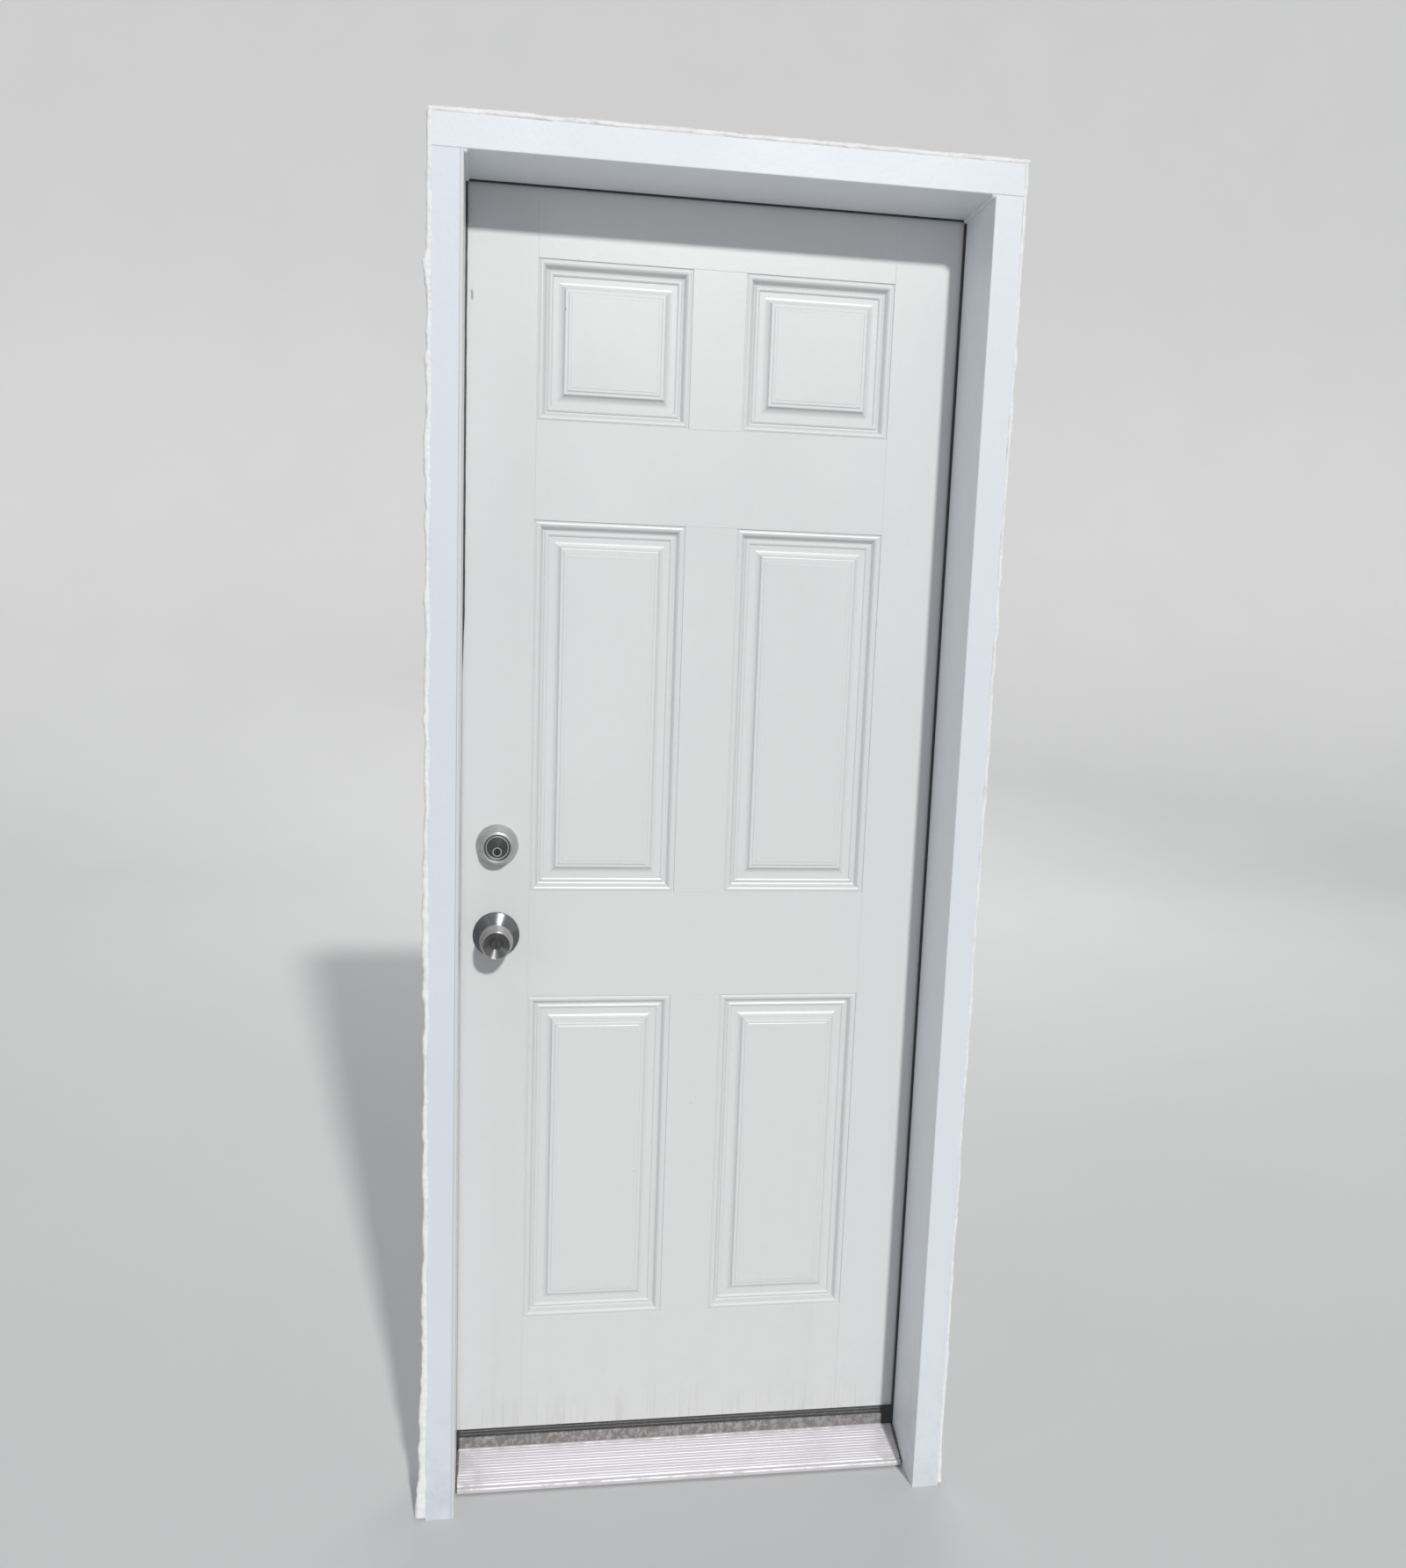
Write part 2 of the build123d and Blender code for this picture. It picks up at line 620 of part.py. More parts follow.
nodes["deadbolt_strike"] = bolt_strike
nodes["strike_screws"] = [facing_x(1, -rabbet_x, y, z) * screw(jamb_screw_l) for y, z in strike_spots]

# Leaf
face_spots = strike_spots
lock_holes = []
for z in (knob_z, bolt_z):
    lock_holes.append(rod_y(lock_x, z, cross_bore_r, leaf_front_y - 1, back_y + 1))
edge_holes = []
for z in (knob_z, bolt_z):
    edge_holes.append(rod_x(leaf_mid_y, z, edge_bore_r, -leaf_x - 1, lock_x))
    edge_holes.append(block(
        -leaf_x - 1, -leaf_x + plate_t, leaf_mid_y - plate_w / 2, leaf_mid_y + plate_w / 2,
        z - plate_h / 2, z + plate_h / 2))
edge_holes += screw_holes(-1, -leaf_x, door_screw_l, face_spots)
hinge_cuts = [Pos(0, 0, z) * hinge_plate(-1) for z in hinge_zs]
hinge_cuts += screw_holes(1, leaf_x, door_screw_l, hinge_spots)

outer = pressed_skin(leaf_front_y, 1)
inner = pressed_skin(back_y, -1)
outer -= scribes(leaf_front_y, 1) + lock_holes + edge_holes
inner -= scribes(back_y, -1) + lock_holes + edge_holes + hinge_cuts
nodes["door_skin_outer"] = outer
nodes["door_skin_inner"] = inner

wood_y0 = leaf_front_y + skin_t
wood_y1 = back_y - skin_t
stile_lock = block(-stile_x, -core_x, wood_y0, wood_y1, leaf_z0, leaf_z1)
stile_hinge = block(core_x, stile_x, wood_y0, wood_y1, leaf_z0, leaf_z1)
joint_zs = [leaf_z0] + [z + s * stile_joint for z in (knob_z, bolt_z) for s in (-1, 1)] + [leaf_z1]
nodes["stile_lock"] = [
    (stile_lock & block(-stile_x, -core_x, wood_y0, wood_y1, z0, z1)) - edge_holes
    for z0, z1 in zip(joint_zs, joint_zs[1:])
]
nodes["stile_hinge"] = stile_hinge - hinge_cuts
nodes["rail_top"] = block(-core_x, core_x, wood_y0, wood_y1, leaf_z1 - rail_w, leaf_z1)
nodes["rail_bottom"] = block(-core_x, core_x, wood_y0, wood_y1, leaf_z0, leaf_z0 + rail_w)
lock_block = block(
    -core_x, -core_x + block_w, wood_y0, wood_y1, knob_z - block_margin, bolt_z + block_margin)
nodes["lock_block"] = lock_block - lock_holes - edge_holes

core_z0 = leaf_z0 + rail_w
core_z1 = leaf_z1 - rail_w


def foam_core():
    """Foam between the skins, grooved where the panels are pressed in."""
    sink = skin_t + core_gap
    faces = panelled_face(core_x, core_z0, core_z1, sink, lambda t: leaf_front_y + t, False)
    faces += panelled_face(core_x, core_z0, core_z1, sink, lambda t: back_y - t, False)
    y0 = leaf_front_y + sink
    y1 = back_y - sink
    for s in (-1, 1):
        x = s * core_x
        side_face = [(x, y0, core_z0), (x, y1, core_z0), (x, y1, core_z1), (x, y0, core_z1)]
        faces.append(quad(side_face, lambda t: t))
    for z in (core_z0, core_z1):
        end_face = [(-core_x, y0, z), (core_x, y0, z), (core_x, y1, z), (-core_x, y1, z)]
        faces.append(quad(end_face, lambda t: t))
    return Solid(Shell(faces))


nodes["door_core"] = foam_core() - lock_block

# Sweep under the leaf: a carrier strip with hanging fins
sweep_y0 = leaf_front_y + seal_clear
sweep_y1 = back_y - seal_clear
sweep_z0 = leaf_z0 - sweep_h
fin_pitch = (sweep_y1 - sweep_y0 - sweep_fin_t) / (sweep_fin_n - 1)
sweep_line = [(sweep_y1, leaf_z0), (sweep_y0, leaf_z0)]
ridge = (sweep_h - 3.0) / 4
for i in range(4):
    z = leaf_z0 - 2.0 - ridge * i
    sweep_line += [(sweep_y0, z), (sweep_y0 + 0.6, z - 0.5), (sweep_y0, z - 1.0)]
for i in range(sweep_fin_n):
    y = sweep_y0 + fin_pitch * i
    root = leaf_z0 - 3.0
    sweep_line += [(y, sweep_z0), (y + sweep_fin_t, sweep_z0), (y + sweep_fin_t, root)]
    if i < sweep_fin_n - 1:
        sweep_line.append((y + fin_pitch, root))
nodes["door_sweep"] = prism_x(sweep_line, -stile_x, stile_x)

# Face plates in the edge of the leaf
latch_gap = (latch_w / 2 + run_gap, latch_h / 2 + run_gap)
face_latch = block(
    -leaf_x, -leaf_x + plate_t, leaf_mid_y - plate_w / 2, leaf_mid_y + plate_w / 2,
    knob_z - plate_h / 2, knob_z + plate_h / 2)
face_latch -= block(
    -leaf_x, -leaf_x + plate_t, leaf_mid_y - latch_gap[0], leaf_mid_y + latch_gap[0],
    knob_z - latch_gap[1], knob_z + latch_gap[1])
face_bolt = block(
    -leaf_x, -leaf_x + plate_t, leaf_mid_y - plate_w / 2, leaf_mid_y + plate_w / 2,
    bolt_z - plate_h / 2, bolt_z + plate_h / 2)
face_bolt -= bolt_section(bolt_r + run_gap, bolt_t + 2 * run_gap, -leaf_x, -leaf_x + plate_t, bolt_z)
for hole in screw_holes(-1, -leaf_x, door_screw_l, face_spots):
    face_latch -= hole
    face_bolt -= hole
nodes["face_plate_latch"] = face_latch
nodes["face_plate_bolt"] = face_bolt
nodes["face_plate_screws"] = [facing_x(-1, -leaf_x, y, z) * screw(door_screw_l) for y, z in face_spots]

# Bolt case and bolt
tube_x0 = -leaf_x + plate_t
bolt_back = -leaf_x + bolt_l
tube_r = bolt_r + run_gap + tube_wall
case_x0 = bolt_back + run_gap
case_x1 = lock_x + tube_r + 4
bolt_case = rod_x(leaf_mid_y, bolt_z, tube_r, tube_x0, case_x0)
bolt_case -= bolt_section(bolt_r + run_gap, bolt_t + 2 * run_gap, tube_x0, case_x0, bolt_z)
bolt_case += block(
    case_x0, case_x1, leaf_mid_y - case_t / 2, leaf_mid_y + case_t / 2,
    bolt_z - case_h / 2, bolt_z + case_h / 2)
bolt_case -= rod_y(lock_x, key_z, math.hypot(tail_w, tail_t) / 2 + run_gap, leaf_front_y, back_y)
nodes["deadbolt_case"] = bolt_case
nodes["deadbolt_bolt"] = bolt_section(bolt_r, bolt_t, -leaf_x, bolt_back, bolt_z)

# Latch case and latch bolt
latch_back = -leaf_x + latch_l
latch_case = rod_x(leaf_mid_y, knob_z, tube_r, tube_x0, latch_back + run_gap)
latch_case -= block(
    tube_x0, latch_back + run_gap, leaf_mid_y - latch_gap[0], leaf_mid_y + latch_gap[0],
    knob_z - latch_gap[1], knob_z + latch_gap[1])
latch_case += block(
    latch_back + run_gap, case_x1, leaf_mid_y - latch_case_t / 2, leaf_mid_y + latch_case_t / 2,
    knob_z - latch_case_h / 2, knob_z + latch_case_h / 2)
latch_case -= rod_y(lock_x, knob_z, spindle_r + run_gap, leaf_front_y, back_y)
nodes["latch_case"] = latch_case
latch_line = [
    (-leaf_x, leaf_mid_y + latch_w / 2), (-leaf_x, leaf_mid_y + latch_w / 4),
    (-leaf_x + latch_w * 0.85, leaf_mid_y - latch_w / 2), (latch_back, leaf_mid_y - latch_w / 2),
    (latch_back, leaf_mid_y + latch_w / 2),
]
nodes["latch_bolt"] = prism_z(latch_line, knob_z - latch_h / 2, knob_z + latch_h / 2)

# Deadbolt: collar, cylinder, key plug, inner plate, thumb turn and the two long screws
ring_d = 5.0
rim_r = collar_top_r - 3.4
floor_h = collar_h - 4.0
collar_hole = cylinder_r + 0.2
collar_curves = run_of([
    (collar_top_r - 1.3, collar_h), (rim_r, collar_h), (rim_r - 0.4, floor_h), (collar_hole, floor_h),
    (collar_hole, -ring_d), (chassis_r, -ring_d), (chassis_r, 0), (collar_r, 0), (collar_r, 2.0),
    (collar_top_r + 0.4, collar_h - 1.6),
])
collar_curves.append(ThreePointArc(
    (collar_top_r + 0.4, collar_h - 1.6), (collar_top_r - 0.2, collar_h - 0.4), (collar_top_r - 1.3, collar_h)))
collar = turned(collar_curves, lock_x, bolt_z, -1)
plug_in = leaf_t * 0.32
cylinder_in = leaf_mid_y - case_t / 2 - leaf_front_y - run_gap
cylinder_curves = run_of([
    (0, -cylinder_in), (cylinder_r, -cylinder_in), (cylinder_r, cylinder_h - 0.8),
    (cylinder_r - 0.9, cylinder_h), (cylinder_r - 1.7, cylinder_h), (cylinder_r - 2.0, cylinder_h - 0.4),
    (0, cylinder_h - 0.4), (0, -cylinder_in),
])
cylinder = turned(cylinder_curves, lock_x, bolt_z, -1)
cylinder -= rod_y(lock_x, key_z, key_r + run_gap, leaf_front_y - cylinder_h - 1, leaf_mid_y)
key_y0 = leaf_front_y - cylinder_h - 0.3
key = rod_y(lock_x, key_z, key_r, key_y0, leaf_front_y + plug_in)
key -= block(lock_x - 0.8, lock_x + 0.8, key_y0 - 1, key_y0 + 9, key_z - key_r * 0.62, key_z + key_r * 0.62)
nodes["deadbolt_key"] = key
inner_plate = turned([
    Line((0, 0), (plate_in_r, 0)), Line((plate_in_r, 0), (plate_in_r, 3.0)),
    ThreePointArc((plate_in_r, 3.0), (plate_in_r - 1.8, 7.2), (plate_in_r - 6.0, plate_in_h)),
    Line((plate_in_r - 6.0, plate_in_h), (0, plate_in_h)), Line((0, plate_in_h), (0, 0)),
], lock_x, bolt_z, 1)
inner_plate -= rod_y(lock_x, key_z, hub_r + run_gap, back_y, back_y + plate_in_h)
long_l = plate_in_h + leaf_t - 1.0
long_screws = []
for s in (-1, 1):
    spot = Pos(lock_x, back_y + plate_in_h, bolt_z + s * lock_screw_out) * Rot(X=-90)
    long_screws.append(spot * screw(long_l))
    inner_plate -= spot * screw_hole(long_l)
    collar -= spot * screw_hole(long_l)
nodes["deadbolt_collar"] = collar
nodes["deadbolt_cylinder"] = cylinder
nodes["deadbolt_plate"] = inner_plate
nodes["deadbolt_screws"] = long_screws
turn_y0 = back_y + run_gap
turn = rod_y(lock_x, key_z, hub_r, turn_y0, back_y + plate_in_h + 2.0)
paddle = extrude(Plane.XY * Rot(Z=90) * SlotOverall(turn_l, turn_w), turn_h, taper=4)
turn += Pos(lock_x, back_y + plate_in_h + 1.0, key_z) * Rot(X=-90) * paddle
turn += block(
    lock_x - tail_t / 2, lock_x + tail_t / 2, leaf_front_y + plug_in + run_gap, turn_y0 + 1,
    key_z - tail_w / 2, key_z + tail_w / 2)
nodes["deadbolt_turn"] = turn

# Knob set: roses, knobs on their spindles, key plug, turn button and chassis
rose_hole = neck_r + run_gap
rose_curves = run_of([
    (rose_hole, rose_h - 0.6), (rose_hole, 0), (rose_r, 0), (rose_r, 2.2), (rose_r - 1.2, 3.4),
    (rose_hole + 4.0, rose_h - 0.8),
])
rose_curves.append(ThreePointArc(
    (rose_hole + 4.0, rose_h - 0.8), (rose_hole + 1.6, rose_h), (rose_hole, rose_h - 0.6)))
nodes["knob_rose_outer"] = turned(rose_curves, lock_x, knob_z, -1)
nodes["knob_rose_inner"] = turned(rose_curves, lock_x, knob_z, 1)


def knob(side, bore_r, bore_h):
    """Knob with its neck and half spindle, dished at the end around a bore."""
    inside = -(leaf_t / 2 - 0.6)
    waist_h = knob_l * 0.34
    wide_h = knob_l * 0.61
    dish_h = knob_l - dish_d
    curves = run_of([
        (0, inside), (spindle_r, inside), (spindle_r, 1.5), (neck_r, 1.5), (neck_r, waist_h)])
    curves.append(Spline(
        (neck_r, waist_h), (neck_r + 2.2, waist_h + 7.0), (neck_r + 8.4, wide_h - 4.5), (knob_r, wide_h),
        tangents=((0, 1), (0.2, 1))))
    curves.append(ThreePointArc(
        (knob_r, wide_h), (knob_r - 1.1, (wide_h + knob_l) / 2), (knob_end_r, knob_l - 1.0)))
    curves.append(ThreePointArc(
        (knob_end_r, knob_l - 1.0), (knob_end_r - 0.5, knob_l - 0.1), (knob_end_r - 1.4, knob_l)))
    curves += run_of([
        (knob_end_r - 1.4, knob_l), (bore_r + 0.4, dish_h), (bore_r, dish_h), (bore_r, bore_h),
        (0, bore_h), (0, inside)])
    return turned(curves, lock_x, knob_z, side)


nodes["knob_outer"] = knob(-1, knob_key_r + run_gap, 30.0)
nodes["knob_inner"] = knob(1, button_r + run_gap, 40.0)
plug_y0 = leaf_front_y - (knob_l - dish_d + 0.8)
plug = rod_y(lock_x, knob_z, knob_key_r, plug_y0, leaf_front_y - 30.0 - run_gap)
plug -= block(lock_x - 0.7, lock_x + 0.7, plug_y0 - 1, plug_y0 + 8, knob_z - 4.6, knob_z + 4.6)
nodes["knob_key"] = plug
button = rod_y(lock_x, knob_z, button_r, back_y + 40.0 + run_gap, back_y + knob_l - 2)
button += block(
    lock_x - button_r * 0.9, lock_x + button_r * 0.9, back_y + knob_l - 6, back_y + knob_l + 2,
    knob_z - 1.2, knob_z + 1.2)
nodes["knob_button"] = button
chassis_l = leaf_t - 2.8
can = run_of([
    (spindle_r + run_gap, 0), (chassis_r, 0), (chassis_r, chassis_l), (spindle_r + run_gap, chassis_l),
    (spindle_r + run_gap, chassis_l - 2), (chassis_r - chassis_wall, chassis_l - 2),
    (chassis_r - chassis_wall, 2), (spindle_r + run_gap, 2), (spindle_r + run_gap, 0),
])
chassis = Pos(0, (leaf_t + chassis_l) / 2, 0) * turned(can, lock_x, knob_z, -1)
chassis -= block(
    lock_x - chassis_r - 1, lock_x, leaf_mid_y - tube_r - 0.6, leaf_mid_y + tube_r + 0.6,
    knob_z - tube_r - 0.6, knob_z + tube_r + 0.6)
nodes["knob_chassis"] = chassis

os.makedirs("parts", exist_ok=True)
for name, shape in nodes.items():
    if isinstance(shape, list):
        shape = Compound(children=[s if isinstance(s, Solid) else s.solid() for s in shape])
    export_step(shape, "parts/" + name + ".step")
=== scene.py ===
import bpy
import bmesh
import math
from mathutils import Matrix, Vector, noise


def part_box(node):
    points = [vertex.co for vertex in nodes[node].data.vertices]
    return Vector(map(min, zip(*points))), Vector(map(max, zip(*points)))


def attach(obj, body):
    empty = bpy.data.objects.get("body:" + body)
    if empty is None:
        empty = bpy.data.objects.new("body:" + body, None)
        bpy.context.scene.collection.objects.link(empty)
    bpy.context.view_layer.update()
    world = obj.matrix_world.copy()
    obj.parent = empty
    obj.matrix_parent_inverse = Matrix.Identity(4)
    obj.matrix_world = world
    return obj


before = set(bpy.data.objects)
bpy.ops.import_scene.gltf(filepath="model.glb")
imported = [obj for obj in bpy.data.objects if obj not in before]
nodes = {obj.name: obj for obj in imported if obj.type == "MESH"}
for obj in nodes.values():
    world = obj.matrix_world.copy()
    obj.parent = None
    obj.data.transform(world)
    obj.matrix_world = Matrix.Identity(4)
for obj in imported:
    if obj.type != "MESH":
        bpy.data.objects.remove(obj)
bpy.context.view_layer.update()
scene = bpy.context.scene
scene.view_settings.view_transform = "Standard"


# Places read from the frame
def middle(name):
    """Centre of a node's box."""
    low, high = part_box(name)
    return (low + high) / 2


def radius_of(name):
    """Radius of a round piece that lies along Y."""
    low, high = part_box(name)
    return (high.z - low.z) / 2


edge_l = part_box("casing_left")[0].x
edge_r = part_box("casing_right")[1].x
stop_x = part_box("casing_right")[0].x
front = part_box("casing_left")[0].y
head_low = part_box("casing_head")[0].z
head_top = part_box("casing_head")[1].z
leaf_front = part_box("door_skin_outer")[0].y
leaf_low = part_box("door_skin_outer")[0].z
leaf_mid = middle("door_core").y
sweep_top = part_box("door_sweep")[1].z
deck_low, deck_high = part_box("threshold_deck")
lock_x = middle("knob_rose_outer").x
knob_z = middle("knob_rose_outer").z
bolt_z = middle("deadbolt_collar").z
key_z = middle("deadbolt_key").z
knob_r = radius_of("knob_outer")
cylinder_r = radius_of("deadbolt_cylinder")
key_r = radius_of("deadbolt_key")
knob_reach = leaf_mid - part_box("knob_outer")[0].y


# Node materials
class Paint:
    """A principled material with short names for the nodes that feed it."""

    def __init__(self, name):
        self.mat = bpy.data.materials.new(name)
        self.mat.use_nodes = True
        self.tree = self.mat.node_tree
        self.shader = next(n for n in self.tree.nodes if n.type == "BSDF_PRINCIPLED")
        coord = self.tree.nodes.new("ShaderNodeTexCoord")
        self.place = coord.outputs["Object"]
        self.up = self.part(self.geo("Normal"), "Z")

    def geo(self, name):
        node = self.tree.nodes.new("ShaderNodeNewGeometry")
        return node.outputs[name]

    def feed(self, socket, value):
        if isinstance(value, (int, float)):
            socket.default_value = value
        elif isinstance(value, (tuple, list)):
            socket.default_value = tuple(value) + ((1.0,) if len(socket.default_value) > len(value) else ())
        else:
            self.tree.links.new(value, socket)

    def set(self, name, value):
        self.feed(self.shader.inputs[name], value)

    def math(self, op, a, b=0.0):
        node = self.tree.nodes.new("ShaderNodeMath")
        node.operation = op
        self.feed(node.inputs[0], a)
        self.feed(node.inputs[1], b)
        return node.outputs[0]

    def part(self, vector, axis):
        node = self.tree.nodes.new("ShaderNodeSeparateXYZ")
        self.feed(node.inputs[0], vector)
        return node.outputs[axis]

    def stretch(self, scale, move=(0, 0, 0)):
        node = self.tree.nodes.new("ShaderNodeMapping")
        self.feed(node.inputs["Vector"], self.place)
        node.inputs["Scale"].default_value = scale
        node.inputs["Location"].default_value = move
        return node.outputs[0]

    def noise(self, scale, detail=3.0, rough=0.5, vector=None, distort=0.0):
        node = self.tree.nodes.new("ShaderNodeTexNoise")
        self.feed(node.inputs["Vector"], vector or self.place)
        node.inputs["Scale"].default_value = scale
        node.inputs["Detail"].default_value = detail
        node.inputs["Roughness"].default_value = rough
        node.inputs["Distortion"].default_value = distort
        return node.outputs["Fac"]

    def cells(self, scale, vector=None):
        node = self.tree.nodes.new("ShaderNodeTexVoronoi")
        self.feed(node.inputs["Vector"], vector or self.place)
        node.inputs["Scale"].default_value = scale
        return node.outputs["Distance"]

    def ramp(self, value, low, high, out_low=0.0, out_high=1.0):
        node = self.tree.nodes.new("ShaderNodeMapRange")
        node.interpolation_type = "SMOOTHSTEP"
        self.feed(node.inputs["Value"], value)
        node.inputs["From Min"].default_value = low
        node.inputs["From Max"].default_value = high
        node.inputs["To Min"].default_value = out_low
        node.inputs["To Max"].default_value = out_high
        return node.outputs["Result"]

    def blend(self, fac, a, b):
        node = self.tree.nodes.new("ShaderNodeMix")
        node.data_type = "RGBA"
        self.feed(node.inputs["Factor"], fac)
        self.feed(node.inputs["A"], a)
        self.feed(node.inputs["B"], b)
        return node.outputs["Result"]

    def bump(self, height, distance):
        node = self.tree.nodes.new("ShaderNodeBump")
        node.inputs["Strength"].default_value = 1.0
        node.inputs["Distance"].default_value = distance
        self.feed(node.inputs["Height"], height)
        return node.outputs[0]

    def spot(self, centre, size):
        """Mask round a point, as half sizes along x, y and z."""
        node = self.stretch(
            tuple(1.0 / s for s in size), tuple(-c / s for c, s in zip(centre, size)))
        length = self.tree.nodes.new("ShaderNodeVectorMath")
        length.operation = "LENGTH"
        self.feed(length.inputs[0], node)
        wobble = self.math("MULTIPLY", self.noise(350.0, 3.0, 0.6), 0.9)
        reach = self.math("ADD", length.outputs["Value"], wobble)
        return self.ramp(reach, 1.05, 1.45, 1.0, 0.0)

    def most(self, masks):
        total = masks[0]
        for mask in masks[1:]:
            total = self.math("MAXIMUM", total, mask)
        return total


def give(mat, *names):
    for name in names:
        slots = nodes[name].data.materials
        slots.clear()
        slots.append(mat)


def painted(name, colour, rough, peel, dusty, grime, low_end, streaks, scuffs=(), edges=None, eased=0.0):
    """House paint: texture of its coat, dust on ledges, grime near the ground, streaks and scuffs with drips.

    edges is the colour of the faces that are turned from the front. eased is the place in x of a greyer
    strip and a dark line painted along the front face, as painted shading of a rounded inner edge."""
    p = Paint(name)
    z = p.part(p.place, "Z")
    broad = p.ramp(p.noise(2.3, 4.0, 0.55), 0.3, 0.7)
    tint = p.blend(p.math("MULTIPLY", broad, 0.45), colour, tuple(c * 0.955 for c in colour))
    front_face = p.ramp(p.math("ABSOLUTE", p.part(p.geo("Normal"), "Y")), 0.3, 0.7)
    if edges:
        turned = p.blend(p.math("MULTIPLY", broad, 0.45), edges, tuple(c * 0.955 for c in edges))
        tint = p.blend(front_face, turned, tint)
    fine = p.ramp(p.noise(55.0, 6.0, 0.65), 0.35, 0.8)
    tint = p.blend(p.math("MULTIPLY", fine, 0.10), tint, tuple(c * 0.86 for c in colour))
    ledge = p.ramp(p.up, 0.25, 0.8)
    dust = p.math("MULTIPLY", ledge, p.ramp(p.noise(38.0, 8.0, 0.75), 0.25, 0.85, 0.35, 1.0))
    tint = p.blend(p.math("MULTIPLY", dust, 0.42 * dusty), tint, (0.30, 0.27, 0.23))
    crumbs = p.math("MULTIPLY", ledge, p.ramp(p.cells(115.0), 0.0, 0.10, 1.0, 0.0))
    crumbs = p.math("MULTIPLY", crumbs, p.ramp(p.noise(9.0, 2.0), 0.5, 0.58))
    tint = p.blend(p.math("MULTIPLY", crumbs, 0.8 * dusty), tint, (0.09, 0.07, 0.055))
    ground = p.ramp(z, low_end, low_end + 0.30, 1.0, 0.0)
    splash = p.math("MULTIPLY", ground, p.ramp(p.noise(22.0, 8.0, 0.75), 0.30, 0.80))
    tint = p.blend(p.math("MULTIPLY", splash, grime * 0.8), tint, tuple(0.5 * c + 0.02 for c in colour))
    specks = p.ramp(p.cells(46.0), 0.0, 0.035, 1.0, 0.0)
    near = p.ramp(z, low_end, low_end + 0.45, 1.0, 0.0)
    specks = p.math("MULTIPLY", specks, p.math("MULTIPLY", near, p.ramp(p.noise(5.0, 2.0), 0.42, 0.6)))
    tint = p.blend(p.math("MULTIPLY", specks, grime), tint, (0.16, 0.13, 0.10))
    runs = p.ramp(p.noise(1.0, 5.0, 0.6, p.stretch((48.0, 48.0, 1.1))), 0.50, 0.78)
    runs = p.math("MULTIPLY", runs, p.ramp(z, low_end, low_end + 0.9, 1.0, 0.15))
    tint = p.blend(p.math("MULTIPLY", runs, streaks), tint, tuple(c * 0.72 for c in colour))
    # Painted shading of a rounded inner edge: a greyer strip on the front face and a dark line at its border
    if eased:
        off = p.math("SUBTRACT", eased, p.part(p.place, "X"))
        lip = p.math("MULTIPLY", p.ramp(off, 0.0, 0.0004, 1.0, 0.0), front_face)
        tint = p.blend(p.math("MULTIPLY", lip, 0.9), tint, (0.575, 0.59, 0.585))
        line = p.ramp(p.math("ABSOLUTE", off), 0.0003, 0.0010, 1.0, 0.0)
        tint = p.blend(p.math("MULTIPLY", line, 0.55), tint, (0.33, 0.34, 0.35))
    if scuffs:
        drips = p.ramp(p.noise(1.0, 3.0, 0.7, p.stretch((150.0, 150.0, 5.0))), 0.52, 0.66)
        drips = p.math("MULTIPLY", drips, p.ramp(z, leaf_low, leaf_low + 0.078, 0.5, 0.0))
        tint = p.blend(p.math("MULTIPLY", drips, 0.4), tint, (0.36, 0.345, 0.32))
        marks = p.most([p.spot(c, s) for c, s in scuffs])
        tint = p.blend(p.math("MULTIPLY", marks, 0.75), tint, (0.20, 0.20, 0.20))
    p.set("Base Color", tint)
    coat = p.ramp(p.noise(4.0, 3.0), 0.3, 0.7, rough - 0.04, rough + 0.06)
    p.set("Roughness", p.math("ADD", coat, p.math("MULTIPLY", p.most([dust, splash]), 0.25 * dusty)))
    surface = p.math("ADD", p.noise(900.0, 2.0, 0.5), p.math("MULTIPLY", p.noise(120.0, 3.0), 1.6))
    p.set("Normal", p.bump(surface, peel))
    return p.mat


SCUFF_DEEP = 0.004
EASED = 0.0047


def scuff(x, z, wide, tall):
    """Place and half sizes of a mark on the leaf's outer skin."""
    return ((x, leaf_front, z), (wide, SCUFF_DEEP, tall))


scuffs = [
    scuff(-0.3585, 1.832, 0.0022, 0.010), scuff(-0.2245, 1.822, 0.0016, 0.0022),
    scuff(-0.089, 0.507, 0.0012, 0.0012), scuff(0.0, 0.62, 0.0010, 0.0012),
]
FRAME_WHITE = (0.765, 0.795, 0.825)
door_paint = painted(
    "door_paint", (0.64, 0.645, 0.655), rough=0.34, peel=0.00006, dusty=0.12, grime=0.13,
    low_end=leaf_low - 0.002, streaks=0.10, scuffs=scuffs)
# Painted shade: the casings' front faces are bluer and darker than the white on their edges, as sky-lit shade
casing_paint = painted(
    "casing_paint", (0.66, 0.70, 0.76), rough=0.42, peel=0.00012, dusty=0.7, grime=0.50, low_end=0.0,
    streaks=0.20, edges=FRAME_WHITE)
# Painted shade: the left casing's front is darker again than the other casings
left_casing_shaded = painted(
    "casing_paint_left_shaded", (0.61, 0.66, 0.73), rough=0.42, peel=0.00012, dusty=0.7, grime=0.50, low_end=0.0,
    streaks=0.20, edges=FRAME_WHITE, eased=-stop_x - EASED)
frame_paint = painted(
    "frame_paint", FRAME_WHITE, rough=0.42, peel=0.00010, dusty=0.6, grime=0.40, low_end=0.03, streaks=0.16)


